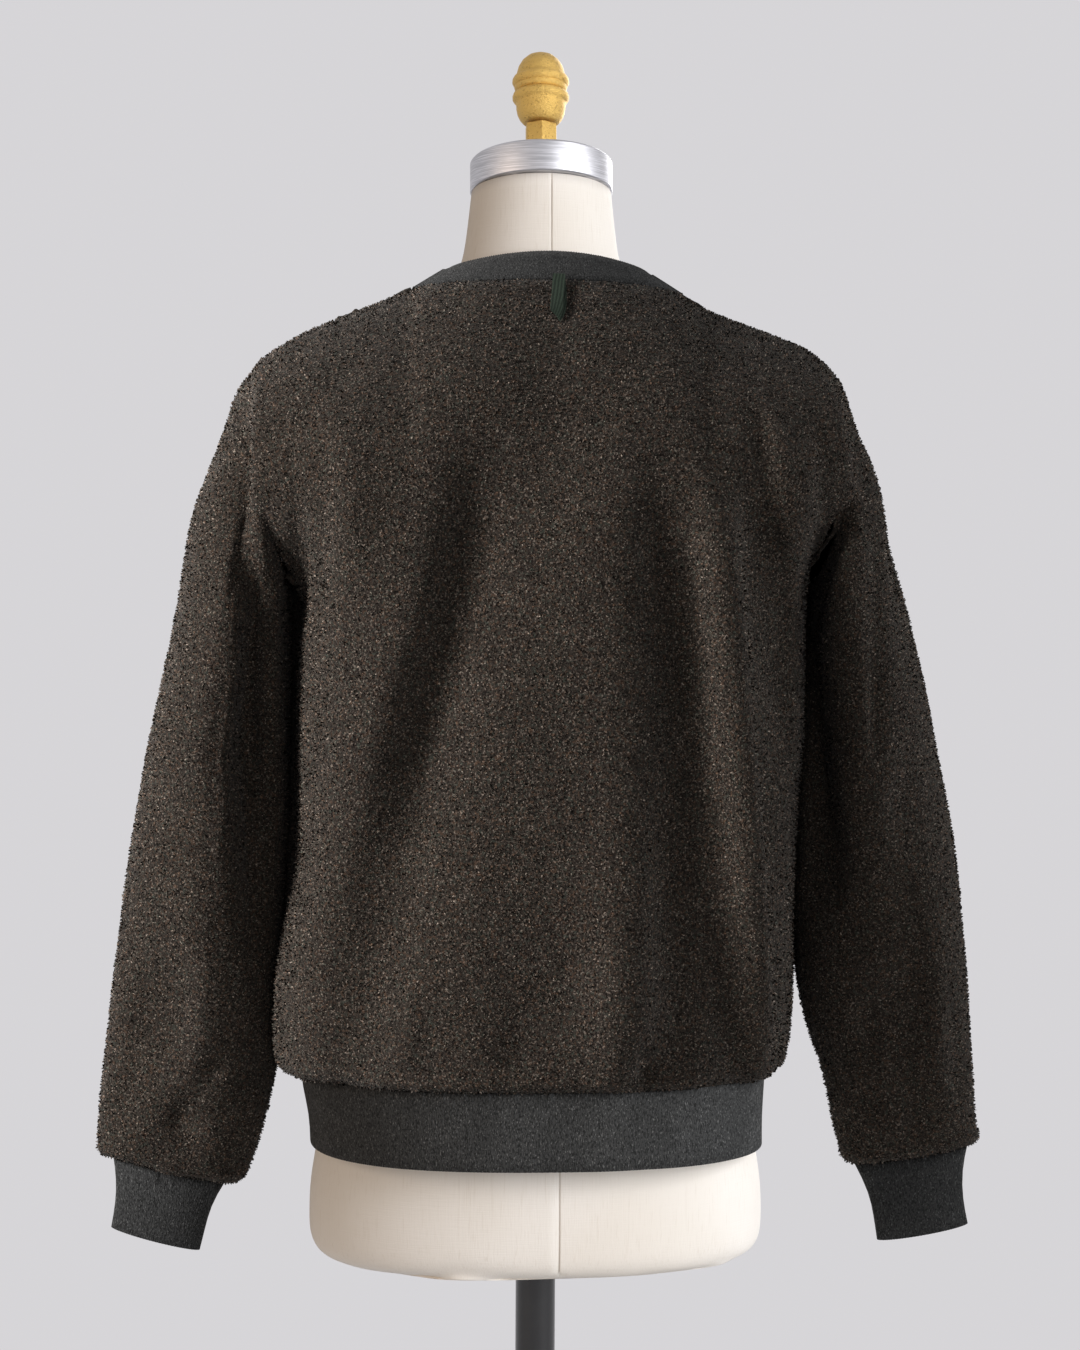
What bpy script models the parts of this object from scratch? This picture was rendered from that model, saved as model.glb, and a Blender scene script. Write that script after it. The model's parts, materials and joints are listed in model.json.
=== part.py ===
"""Fleece cardigan with rib-knit trims, worn on a linen dress form that stands on a pole and a round base.

Metres, +Z up. The form's axis is the Z axis, the cardigan's back faces +Y and its left side lies at +X.
The cloth is worked out as one skin of outer points, cut into pieces along its seams.
"""

import math
from typing import NamedTuple

import bmesh
import bpy
import numpy as np
from mathutils.bvhtree import BVHTree

COLLECTION = "fleece_cardigan_on_dress_form"

# Cloth
FLEECE_WALL = 0.004
RIB_WALL = 0.0025
RIB_INSET = 0.0008
SEAM_GAP = 0.0003
SEAT_GAP = 0.0004
SEAM_Y = -0.004
SPLIT_ORDER = np.array([0.31, 0.57, 0.76])
BODY_POWER = 2.5
BACK_NECK_COLUMNS = 6
FRONT_COLUMNS = 12
ARMHOLE_ROWS = 11
BODY_ROWS = 10
SLEEVE_ROWS = 17
CREASE_TURN = 0.0
CREASE_BLEND = 0.7
RELAX_ROUNDS = 3
FOLD_STARTS = (-0.25, 0.20)
FOLD_ENDS = (0.80, 1.15)
FOLD_SIDES = (0.012, 0.062)
FOLD_SWELL = 0.8
SHARP_ANGLE = math.radians(40.0)

# Neckline and front opening
NECK_SHIFT_X = -0.005
NECK_BACK_Y = 0.066
NECK_HEIGHT = 1.4570
BAND_WIDTH = 0.027
BAND_STEPS = 2
BAND_TURN = 0.06
BAND_SIDE_LIFT = math.radians(32.0)
BAND_BACK_LIFT = math.radians(58.0)
NECK_TURN = (1.400, 1.450)
FRONT_EDGE_X = 0.0143
LAP_RISE = 0.0017
LAP_SPREAD = 0.045
LAP_FADE = (1.36, 1.44)
VEE_HEIGHT = 1.300
VEE_SETBACK = 0.006
VEE_SHARE = 0.27
VEE_CONTROL = (0.052, -0.118, 1.395)

# Armholes
ARMHOLE_BACK = 0.084
ARMHOLE_FRONT = 0.078

# Buttons and hanger loop
BUTTON_RADIUS = 0.009
BUTTON_THICK = 0.0032
BUTTON_RIM = 0.0016
BUTTON_TOP = 1.278
BUTTON_BOTTOM = 0.851
BUTTON_COUNT = 6
BUTTON_X = 0.0008
BUTTON_STEPS = 16
LOOP_WIDTH = 0.0095
LOOP_TAPE = 0.0008
LOOP_X = -0.0085
LOOP_START = 0.001
LOOP_DROP = 0.040
LOOP_POINTS = 6
LOOP_SLACK = 0.0012
LOOP_CLEAR = 0.0010

# Dress form
FORM_AROUND = 40
FORM_GAP = 0.0006
FORM_FACING_LEAST = 0.12
FORM_BACK_POWER = 2.0
SETTLE_STEP = 0.0004
SETTLE_ROUNDS = 40
NECK_TILT = math.radians(8.0)
NECK_TILT_FROM = 1.470
NECK_TOP = 1.531
CAP_RADIUS = 0.0535
CAP_HEIGHT = 0.024
CAP_BEVEL = 0.0012
CAP_STEPS = 40
CAP_TOP = 1.5555
PIVOT_Y = -0.004

# Finial, pole and base
STEM_ACROSS = 0.0225
STEM_TOP = 1.5855
FINIAL_STEPS = 24
POLE_RADIUS = 0.0148
POLE_STEPS = 24
BASE_RADIUS = 0.175
BASE_THICK = 0.010
BASE_EDGE = 0.003
BASE_STEPS = 40
HUB_RADIUS = 0.027
HUB_HEIGHT = 0.055
HUB_FILLET = 0.004


class BodyLevel(NamedTuple):
    """Level section of the cardigan's body, from the hem seam to the underarm."""

    height: float
    left: float
    right: float
    back: float
    front: float


class CentreStation(NamedTuple):
    """Point up the middle of the back."""

    height: float
    back: float


class ShoulderStation(NamedTuple):
    """Points of the two shoulder seams, from the neck outwards."""

    left_x: float
    left_z: float
    right_x: float
    right_z: float


class SleeveRing(NamedTuple):
    """Ring of a sleeve between its outer and its inner point, with its half depth."""

    outer_x: float
    outer_z: float
    inner_x: float
    inner_z: float
    depth: float
    middle_y: float


class BodyFold(NamedTuple):
    """Soft ridge or trough of a body panel, along a line seen from behind or in front."""

    top_x: float
    top_z: float
    bottom_x: float
    bottom_z: float
    rise: float
    top_width: float
    bottom_width: float


class SleeveFold(NamedTuple):
    """Long ridge or trough of a sleeve, by angle from its outer side towards the back."""

    start_angle: float
    end_angle: float
    start_row: float
    end_row: float
    rise: float
    spread: float


class ClothPiece(NamedTuple):
    """Outer points of a cloth piece, whether it is a tube, its wall and which way it faces."""

    grid: np.ndarray
    closed: bool
    wall: float
    facing: int


class FormLevel(NamedTuple):
    """Level section of the dress form."""

    height: float
    half_width: float
    back: float
    front: float
    front_power: float


BODY_LEVELS = (
    BodyLevel(0.8790, 0.1765, 0.1700, 0.1370, 0.1390),
    BodyLevel(0.8860, 0.1850, 0.1780, 0.1450, 0.1470),
    BodyLevel(0.9000, 0.1900, 0.1860, 0.1490, 0.1510),
    BodyLevel(0.9350, 0.1910, 0.1905, 0.1510, 0.1530),
    BodyLevel(0.9900, 0.1900, 0.1915, 0.1510, 0.1530),
    BodyLevel(1.0500, 0.1880, 0.1925, 0.1480, 0.1520),
    BodyLevel(1.1100, 0.1860, 0.1940, 0.1450, 0.1510),
    BodyLevel(1.1800, 0.1850, 0.1950, 0.1420, 0.1490),
    BodyLevel(1.2350, 0.1860, 0.1970, 0.1400, 0.1460),
)

BACK_CENTRE = (
    CentreStation(1.235, 0.1400),
    CentreStation(1.290, 0.1370),
    CentreStation(1.345, 0.1270),
    CentreStation(1.395, 0.1080),
    CentreStation(1.430, 0.0870),
    CentreStation(1.457, 0.0660),
)

SHOULDERS = (
    ShoulderStation(0.0965, 1.4575, 0.1065, 1.4560),
    ShoulderStation(0.1200, 1.4490, 0.1300, 1.4450),
    ShoulderStation(0.1450, 1.4382, 0.1540, 1.4362),
    ShoulderStation(0.1700, 1.4280, 0.1780, 1.4275),
    ShoulderStation(0.1920, 1.4155, 0.2000, 1.4180),
    ShoulderStation(0.2085, 1.4025, 0.2150, 1.4060),
    ShoulderStation(0.2195, 1.3905, 0.2230, 1.3950),
    ShoulderStation(0.2275, 1.3760, 0.2305, 1.3790),
    ShoulderStation(0.2327, 1.3585, 0.2375, 1.3585),
)

LEFT_SLEEVE = (
    SleeveRing(0.2327, 1.3585, 0.1860, 1.2350, 0.0840, -0.004),
    SleeveRing(0.2425, 1.3240, 0.1890, 1.2130, 0.0830, -0.004),
    SleeveRing(0.2530, 1.2880, 0.1895, 1.1900, 0.0810, -0.004),
    SleeveRing(0.2666, 1.2227, 0.1890, 1.1500, 0.0780, -0.005),
    SleeveRing(0.2825, 1.1472, 0.1895, 1.1000, 0.0740, -0.006),
    SleeveRing(0.2931, 1.0917, 0.1910, 1.0550, 0.0690, -0.007),
    SleeveRing(0.3037, 1.0282, 0.1930, 1.0000, 0.0630, -0.008),
    SleeveRing(0.3129, 0.9558, 0.1940, 0.9360, 0.0540, -0.009),
    SleeveRing(0.3191, 0.8974, 0.1940, 0.8830, 0.0460, -0.010),
    SleeveRing(0.3245, 0.8480, 0.2030, 0.8380, 0.0370, -0.011),
    SleeveRing(0.3255, 0.8240, 0.2130, 0.8080, 0.0300, -0.011),
    SleeveRing(0.3225, 0.8140, 0.2215, 0.7950, 0.0230, -0.011),
    SleeveRing(0.3152, 0.8110, 0.2320, 0.7895, 0.0155, -0.011),
)

RIGHT_SLEEVE = (
    SleeveRing(0.2375, 1.3585, 0.1970, 1.2350, 0.0840, -0.004),
    SleeveRing(0.2505, 1.3220, 0.2000, 1.2130, 0.0830, -0.004),
    SleeveRing(0.2602, 1.2906, 0.2000, 1.1900, 0.0810, -0.004),
    SleeveRing(0.2785, 1.2260, 0.1985, 1.1500, 0.0780, -0.005),
    SleeveRing(0.2941, 1.1569, 0.1970, 1.1050, 0.0740, -0.006),
    SleeveRing(0.3038, 1.1082, 0.1960, 1.0650, 0.0700, -0.007),
    SleeveRing(0.3151, 1.0534, 0.1955, 1.0150, 0.0640, -0.008),
    SleeveRing(0.3235, 0.9950, 0.1965, 0.9700, 0.0570, -0.009),
    SleeveRing(0.3298, 0.9216, 0.2058, 0.9180, 0.0480, -0.010),
    SleeveRing(0.3345, 0.8700, 0.2195, 0.8700, 0.0400, -0.011),
    SleeveRing(0.3377, 0.8270, 0.2290, 0.8248, 0.0310, -0.011),
    SleeveRing(0.3375, 0.8170, 0.2360, 0.8050, 0.0230, -0.011),
    SleeveRing(0.3322, 0.8136, 0.2442, 0.7985, 0.0155, -0.011),
)

LEFT_CUFF = (
    SleeveRing(0.3152, 0.8110, 0.2320, 0.7895, 0.0155, -0.011),
    SleeveRing(0.3131, 0.7930, 0.2415, 0.7720, 0.0135, -0.011),
    SleeveRing(0.3135, 0.7760, 0.2465, 0.7550, 0.0130, -0.011),
    SleeveRing(0.3163, 0.7575, 0.2503, 0.7396, 0.0130, -0.011),
)

RIGHT_CUFF = (
    SleeveRing(0.3322, 0.8136, 0.2442, 0.7985, 0.0155, -0.011),
    SleeveRing(0.3285, 0.7930, 0.2545, 0.7770, 0.0135, -0.011),
    SleeveRing(0.3290, 0.7720, 0.2590, 0.7590, 0.0130, -0.011),
    SleeveRing(0.3326, 0.7527, 0.2619, 0.7407, 0.0130, -0.011),
)

HEM_LEVELS = (
    BodyLevel(0.8790, 0.1765, 0.1700, 0.1370, 0.1390),
    BodyLevel(0.8640, 0.1745, 0.1690, 0.1355, 0.1375),
    BodyLevel(0.8440, 0.1705, 0.1680, 0.1350, 0.1365),
    BodyLevel(0.8240, 0.1690, 0.1680, 0.1350, 0.1365),
)

BACK_FOLDS = (
    BodyFold(0.152, 1.345, 0.168, 1.130, 0.0060, 0.022, 0.020),
    BodyFold(0.060, 1.310, 0.150, 0.980, -0.0085, 0.036, 0.030),
    BodyFold(-0.096, 1.320, -0.158, 0.905, 0.0085, 0.030, 0.014),
    BodyFold(-0.070, 1.280, -0.095, 1.150, -0.0050, 0.024, 0.026),
    BodyFold(-0.140, 1.300, -0.162, 1.180, -0.0060, 0.018, 0.018),
    BodyFold(-0.042, 0.990, -0.043, 0.890, 0.0035, 0.020, 0.020),
    BodyFold(-0.066, 0.930, -0.068, 0.880, -0.0040, 0.014, 0.018),
    BodyFold(0.105, 0.960, 0.120, 0.885, 0.0035, 0.018, 0.022),
)

FRONT_FOLDS = (
    BodyFold(0.135, 1.330, 0.158, 1.080, 0.0065, 0.024, 0.024),
    BodyFold(0.085, 1.250, 0.110, 0.950, -0.0070, 0.028, 0.030),
    BodyFold(-0.130, 1.330, -0.155, 1.040, 0.0070, 0.024, 0.022),
    BodyFold(-0.080, 1.230, -0.105, 0.930, -0.0065, 0.028, 0.030),
    BodyFold(0.060, 0.980, 0.058, 0.885, 0.0040, 0.020, 0.018),
    BodyFold(-0.055, 0.960, -0.060, 0.885, 0.0035, 0.018, 0.020),
)

LEFT_SLEEVE_FOLDS = (
    SleeveFold(108.0, 128.0, 0.6, 6.8, -0.0200, 15.0),
    SleeveFold(80.0, 92.0, 1.0, 5.5, 0.0050, 18.0),
    SleeveFold(-95.0, -110.0, 1.2, 6.0, -0.0120, 18.0),
    SleeveFold(40.0, 62.0, 6.0, 9.8, -0.0035, 18.0),
    SleeveFold(100.0, 84.0, 8.2, 11.0, -0.0050, 14.0),
    SleeveFold(-60.0, -70.0, 7.0, 11.0, -0.0045, 18.0),
)

RIGHT_SLEEVE_FOLDS = (
    SleeveFold(136.0, 140.0, 1.2, 7.0, -0.0170, 20.0),
    SleeveFold(104.0, 104.0, 0.8, 6.6, 0.0080, 13.0),
    SleeveFold(-100.0, -112.0, 1.2, 6.0, -0.0120, 18.0),
    SleeveFold(92.0, 80.0, 7.6, 11.0, -0.0055, 14.0),
    SleeveFold(120.0, 118.0, 7.8, 10.6, 0.0040, 14.0),
    SleeveFold(-66.0, -74.0, 7.0, 11.0, -0.0045, 18.0),
)

FORM_LEVELS = (
    FormLevel(0.7400, 0.1530, 0.0960, 0.1000, 2.30),
    FormLevel(0.7435, 0.1610, 0.1040, 0.1080, 2.30),
    FormLevel(0.7530, 0.1675, 0.1100, 0.1140, 2.30),
    FormLevel(0.7700, 0.1690, 0.1120, 0.1160, 2.30),
    FormLevel(0.7950, 0.1680, 0.1130, 0.1170, 2.30),
    FormLevel(0.8250, 0.1635, 0.1130, 0.1160, 2.30),
    FormLevel(0.8700, 0.1580, 0.1090, 0.1120, 2.30),
    FormLevel(0.9300, 0.1460, 0.0990, 0.1040, 2.30),
    FormLevel(1.0000, 0.1320, 0.0880, 0.0980, 2.30),
    FormLevel(1.0600, 0.1290, 0.0860, 0.1000, 2.30),
    FormLevel(1.1200, 0.1370, 0.0930, 0.1080, 2.30),
    FormLevel(1.1900, 0.1520, 0.1060, 0.1200, 2.30),
    FormLevel(1.2600, 0.1690, 0.1160, 0.1280, 2.30),
    FormLevel(1.3200, 0.1930, 0.1150, 0.1190, 2.20),
    FormLevel(1.3600, 0.2120, 0.1080, 0.1030, 1.80),
    FormLevel(1.3850, 0.2160, 0.0990, 0.0880, 1.40),
    FormLevel(1.4050, 0.2050, 0.0890, 0.0775, 1.15),
    FormLevel(1.4200, 0.1830, 0.0800, 0.0660, 1.00),
    FormLevel(1.4350, 0.1400, 0.0700, 0.0600, 1.05),
    FormLevel(1.4460, 0.1060, 0.0620, 0.0570, 1.10),
    FormLevel(1.4560, 0.0770, 0.0550, 0.0560, 1.35),
    FormLevel(1.4680, 0.0645, 0.0510, 0.0550, 1.80),
    FormLevel(1.4820, 0.0590, 0.0480, 0.0550, 2.00),
    FormLevel(1.5000, 0.0560, 0.0480, 0.0545, 2.00),
    FormLevel(NECK_TOP, 0.0525, 0.0480, 0.0550, 2.00),
)

FINIAL_PROFILE = (
    (0.0000, 1.6418),
    (0.0055, 1.6410),
    (0.0110, 1.6382),
    (0.0155, 1.6335),
    (0.0178, 1.6285),
    (0.0186, 1.6240),
    (0.0212, 1.6222),
    (0.0214, 1.6180),
    (0.0196, 1.6152),
    (0.0188, 1.6118),
    (0.0205, 1.6090),
    (0.0209, 1.6045),
    (0.0202, 1.6005),
    (0.0184, 1.5985),
    (0.0178, 1.5935),
    (0.0158, 1.5890),
    (0.0118, 1.5858),
    (0.0000, STEM_TOP),
)


def resample(table, count):
    """Return a table's columns at evenly spaced rows of a smooth curve through its rows."""
    rows = np.array(table, float)
    slopes = np.gradient(rows, axis=0)
    places = np.linspace(0.0, len(rows) - 1.0, count)
    first = np.minimum(places.astype(int), len(rows) - 2)
    t = (places - first)[:, None]
    a, b = rows[first], rows[first + 1]
    ma, mb = slopes[first], slopes[first + 1]
    return (
        (2 * t**3 - 3 * t**2 + 1) * a
        + (t**3 - 2 * t**2 + t) * ma
        + (3 * t**2 - 2 * t**3) * b
        + (t**3 - t**2) * mb
    )


def smooth_step(value, low=0.0, high=1.0):
    """Return 0 below the low value, 1 above the high one and a soft rise between."""
    value = np.clip((value - low) / (high - low), 0.0, 1.0)
    return value * value * (3.0 - 2.0 * value)


def body_row(level, side, face, columns, start_x=0.0):
    """Return one row of a half panel, from its middle edge to the side seam.

    side is 1 for left (+X), -1 for right; face is 1 for the back, -1 for the front.
    """
    height, left, right, back, front = level
    half_width = left if side > 0 else right
    depth = back if face > 0 else front
    first = math.asin((start_x / half_width) ** (BODY_POWER / 2.0))
    angle = np.linspace(first, math.pi / 2.0, columns + 1)
    x = side * half_width * np.sin(angle) ** (2.0 / BODY_POWER)
    y = SEAM_Y + (face * depth - SEAM_Y) * np.clip(np.cos(angle), 0.0, 1.0) ** (2.0 / BODY_POWER)
    return np.stack([x, y, np.full_like(x, height)], axis=1)


def armhole_edge(sleeve, side, face):
    """Return the armhole from the underarm to the shoulder, round the back or the front."""
    ring = sleeve[0]
    depth = ARMHOLE_BACK if face > 0 else ARMHOLE_FRONT
    angle = np.linspace(math.pi, 0.0, ARMHOLE_ROWS + 1)
    x = (ring.outer_x + ring.inner_x) / 2 + (ring.outer_x - ring.inner_x) / 2 * np.cos(angle)
    z = (ring.outer_z + ring.inner_z) / 2 + (ring.outer_z - ring.inner_z) / 2 * np.cos(angle)
    y = SEAM_Y + face * depth * np.sin(angle)
    return np.stack([side * x, y, z], axis=1)


def shoulder_seam(side):
    """Return one shoulder seam, from the neck to the armhole."""
    rows = resample(SHOULDERS, FRONT_COLUMNS + 1)
    x, z = (rows[:, 0], rows[:, 1]) if side > 0 else (-rows[:, 2], rows[:, 3])
    return np.stack([x, np.full_like(x, SEAM_Y), z], axis=1)


def back_neckline(side):
    """Return half of the back neckline, from its middle to the shoulder seam."""
    neck_point = shoulder_seam(side)[0]
    angle = np.linspace(0.0, math.pi / 2.0, BACK_NECK_COLUMNS + 1)
    x = NECK_SHIFT_X + (neck_point[0] - NECK_SHIFT_X) * np.sin(angle)
    y = SEAM_Y + (NECK_BACK_Y - SEAM_Y) * np.cos(angle)
    z = NECK_HEIGHT + (neck_point[2] - NECK_HEIGHT) * np.sin(angle) ** 2
    return np.stack([x, y, z], axis=1)


def front_opening_edge(side, start):
    """Return the front edge from underarm height to the vee, then the neckline to the shoulder."""
    neck_point = shoulder_seam(side)[0]
    corner = np.array([side * FRONT_EDGE_X, start[1] + VEE_SETBACK, VEE_HEIGHT])
    control = np.array(VEE_CONTROL) * (side, 1.0, 1.0)
    points = []
    for step in np.linspace(0.0, 1.0, ARMHOLE_ROWS + 1):
        if step < VEE_SHARE:
            points.append(start + (corner - start) * step / VEE_SHARE)
            continue
        t = (step - VEE_SHARE) / (1.0 - VEE_SHARE)
        points.append((1 - t) ** 2 * corner + 2 * t * (1 - t) * control + t * t * neck_point)
    points[-1] = neck_point
    return np.array(points)


def coons(bottom, top, start, end):
    """Return the patch between four edges: rows from bottom to top, columns from start to end.

    Depth and height rise by a quarter turn and not in proportion, which rounds the shoulder.
    """
    rise = np.linspace(0.0, 1.0, len(start))
    quarter = rise * math.pi / 2
    v = np.stack([rise, 1.0 - np.cos(quarter), np.sin(quarter)], axis=1)[:, None, :]
    u = np.linspace(0.0, 1.0, len(bottom))[None, :, None]
    ruled = (1 - v) * bottom[None] + v * top[None] + (1 - u) * start[:, None] + u * end[:, None]
    corners = (
        (1 - u) * (1 - v) * bottom[0]
        + u * (1 - v) * bottom[-1]
        + (1 - u) * v * top[0]
        + u * v * top[-1]
    )
    return ruled - corners


def relax(grid, first, last):
    """Ease a grid's rows from first to last, where two stretches meet, keeping its side edge."""
    for _ in range(RELAX_ROUNDS):
        eased = grid.copy()
        eased[first:last, :-1] = (
            0.5 * grid[first:last, :-1]
            + 0.25 * grid[first - 1 : last - 1, :-1]
            + 0.25 * grid[first + 1 : last + 1, :-1]
        )
        grid = eased
    return grid


def fold_body(grid, folds, face):
    """Raise a panel's folds along Y, fading out at their ends and near the side seams."""
    grid = grid.copy()
    x, y, z = grid[..., 0], grid[..., 1], grid[..., 2]
    fade = smooth_step(face * (y - SEAM_Y), *FOLD_SIDES)
    rise = np.zeros_like(x)
    for fold in folds:
        along = (fold.top_z - z) / (fold.top_z - fold.bottom_z)
        place = np.clip(along, 0.0, 1.0)
        line = fold.top_x + (fold.bottom_x - fold.top_x) * place
        width = fold.top_width + (fold.bottom_width - fold.top_width) * place
        ends = smooth_step(along, *FOLD_STARTS) * (1.0 - smooth_step(along, *FOLD_ENDS))
        rise += fold.rise * ends * np.exp(-(((x - line) / width) ** 2))
    grid[..., 1] += face * rise * fade
    return grid


def lap_front(grid, side):
    """Lift the left front and lower the right one near the opening, so that they lap."""
    grid = grid.copy()
    x, z = grid[..., 0], grid[..., 2]
    spread = np.exp(-(((np.abs(x) - FRONT_EDGE_X) / LAP_SPREAD) ** 2))
    fade = 1.0 - smooth_step(z, *LAP_FADE)
    grid[..., 1] -= side * LAP_RISE * spread * fade
    return grid


def half_panel(side, face, sleeve):
    """Return a half panel's grid, rows from the hem seam to the shoulder, columns to the side."""
    columns = FRONT_COLUMNS + (BACK_NECK_COLUMNS if face > 0 else 0)
    start_x = 0.0 if face > 0 else FRONT_EDGE_X
    levels = resample(BODY_LEVELS, BODY_ROWS + 1)
    lower = np.array([body_row(level, side, face, columns, start_x) for level in levels])
    end = armhole_edge(sleeve, side, face)
    bottom = lower[-1].copy()
    end[0] = bottom[-1]
    seam = shoulder_seam(side)
    if face > 0:
        centre = resample(BACK_CENTRE, ARMHOLE_ROWS + 1)
        drift = NECK_SHIFT_X * np.linspace(0.0, 1.0, ARMHOLE_ROWS + 1) ** 2
        start = np.stack([drift, centre[:, 1], centre[:, 0]], axis=1)
        start[0] = bottom[0]
        top = np.concatenate([back_neckline(side), seam[1:]])
        start[-1] = top[0]
    else:
        top = seam
        start = front_opening_edge(side, bottom[0])
    end[-1] = top[-1]
    upper = coons(bottom, top, start, end)
    grid = np.concatenate([lower, upper[1:]])
    grid = relax(grid, BODY_ROWS - 2, BODY_ROWS + ARMHOLE_ROWS - 1)
    folds = BACK_FOLDS if face > 0 else FRONT_FOLDS
    return fold_body(grid, folds, face)


def ring_points(ring, side, angles):
    """Return a sleeve or cuff ring at angles from its outer point, positive towards the back."""
    outer_x, outer_z, inner_x, inner_z, depth, middle_y = ring
    c, s = np.cos(angles), np.sin(angles)
    x = (outer_x + inner_x) / 2 + (outer_x - inner_x) / 2 * c
    z = (outer_z + inner_z) / 2 + (outer_z - inner_z) / 2 * c
    return np.stack([side * x, middle_y + depth * s, z], axis=1)


def fold_rise(folds, row, angles):
    """Return how far a ring's points stand out, from the sleeve's folds at this row."""
    rise = np.zeros_like(angles)
    for fold in folds:
        along = (row - fold.start_row) / (fold.end_row - fold.start_row)
        if not 0.0 < along < 1.0:
            continue
        middle = math.radians(fold.start_angle + (fold.end_angle - fold.start_angle) * along)
        away = np.angle(np.exp(1j * (angles - middle)))
        ends = math.sin(math.pi * along) ** FOLD_SWELL
        rise += fold.rise * ends * np.exp(-((away / math.radians(fold.spread)) ** 2))
    return rise


def sleeve_grid(sleeve, folds, side, armhole):
    """Return a sleeve's rings from the armhole to the cuff seam, with its first ring given."""
    half = np.linspace(math.pi, 0.0, ARMHOLE_ROWS + 1)
    angles = np.concatenate([half, -half[::-1][1:-1]])
    rings = resample(sleeve, SLEEVE_ROWS)
    places = np.linspace(0.0, len(sleeve) - 1.0, SLEEVE_ROWS)
    grid = [armhole]
    for ring, row in zip(rings[1:], places[1:]):
        points = ring_points(ring, side, angles)
        middle = points.mean(axis=0)
        outward = points - middle
        outward /= np.linalg.norm(outward, axis=1)[:, None]
        grid.append(points + outward * fold_rise(folds, row, angles)[:, None])
    return np.array(grid)


def cuff_grid(cuff, side):
    """Return a cuff's rings, from its seam to its lower edge."""
    half = np.linspace(math.pi, 0.0, ARMHOLE_ROWS + 1)
    angles = np.concatenate([half, -half[::-1][1:-1]])
    return np.array([ring_points(ring, side, angles) for ring in cuff])


def hem_grid(seam_row):
    """Return the hem band's rows below the hem seam, in the seam row's columns."""
    rows = [seam_row]
    first = HEM_LEVELS[0]
    for level in HEM_LEVELS[1:]:
        x, y = seam_row[:, 0], seam_row[:, 1]
        width = np.where(x > 0, level.left / first.left, level.right / first.right)
        depth = np.where(y > 0, level.back / first.back, level.front / first.front)
        rows.append(np.stack([x * width, y * depth, np.full_like(x, level.height)], axis=1))
    return np.array(rows)


def seam_key(point):
    """Return a dictionary key shared by the points of two pieces that meet."""
    return tuple(np.round(point * 1e5).astype(int))


def point_normals(piece):
    """Return the summed normals of a piece's faces round each point, by the point's key."""
    grid, closed, _, facing = piece
    columns = grid.shape[1]
    last = columns if closed else columns - 1
    total = {}
    for i in range(grid.shape[0] - 1):
        for j in range(last):
            k = (j + 1) % columns
            a, b, c, d = grid[i, j], grid[i, k], grid[i + 1, k], grid[i + 1, j]
            normal = facing * np.cross(c - a, d - b)
            for corner in (a, b, c, d):
                key = seam_key(corner)
                total[key] = total.get(key, np.zeros(3)) + normal
    return total


def joined_normals(pieces):
    """Return each piece's outward normals.

    A point on a seam takes in the normals of the pieces that it joins, so that their walls meet
    squarely, except in a crease such as the underarm, where the pieces turn away from each other.
    """
    own = {name: point_normals(piece) for name, piece in pieces.items()}
    result = {}
    for name, piece in pieces.items():
        normals = np.zeros_like(piece.grid)
        for index in np.ndindex(piece.grid.shape[:2]):
            key = seam_key(piece.grid[index])
            mine = own[name][key]
            others = sum((own[o][key] for o in own if o != name and key in own[o]), np.zeros(3))
            if others.any():
                turn = mine @ others / np.linalg.norm(mine) / np.linalg.norm(others)
                mine = mine + others * smooth_step(turn, CREASE_TURN, CREASE_BLEND)
            normals[index] = mine / np.linalg.norm(mine)
        result[name] = normals
    return result


def trim(grid, closed, amount):
    """Draw a grid's open edges in squarely by the amount, to keep pieces apart at their seams."""
    grid = grid.copy()

    def pull(edge, inner):
        step = inner - edge
        along = np.gradient(edge, axis=0)
        along /= np.linalg.norm(along, axis=1)[:, None]
        step = step - along * np.sum(step * along, axis=1)[:, None]
        return edge + step / np.linalg.norm(step, axis=1)[:, None] * amount

    grid[0] = pull(grid[0], grid[1])
    grid[-1] = pull(grid[-1], grid[-2])
    if not closed:
        grid[:, 0] = pull(grid[:, 0], grid[:, 1])
        grid[:, -1] = pull(grid[:, -1], grid[:, -2])
    return grid


def wall_mesh(outer, inner, closed):
    """Return the vertices and faces of a wall between two grids of the same size.

    The two sides of a seam are split along the same diagonals, so that they keep their distance.
    """
    rows, columns = outer.shape[:2]
    count = rows * columns
    vertices = np.concatenate([outer.reshape(-1, 3), inner.reshape(-1, 3)])
    faces = []

    def add_edge(p, q):
        if vertices[p] @ SPLIT_ORDER > vertices[q] @ SPLIT_ORDER:
            faces.extend([(p, q, count + q), (p, count + q, count + p)])
        else:
            faces.extend([(p, q, count + p), (q, count + q, count + p)])

    last = columns if closed else columns - 1
    for i in range(rows - 1):
        for j in range(last):
            k = (j + 1) % columns
            a, b = i * columns + j, i * columns + k
            c, d = (i + 1) * columns + k, (i + 1) * columns + j
            faces.append((a, b, c, d))
            faces.append((count + d, count + c, count + b, count + a))
    for j in range(last):
        k = (j + 1) % columns
        low = (rows - 1) * columns
        add_edge(k, j)
        add_edge(low + j, low + k)
    if not closed:
        for i in range(rows - 1):
            a, d = i * columns, (i + 1) * columns
            add_edge(a, d)
            add_edge(d + columns - 1, a + columns - 1)
    return vertices, faces


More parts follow.
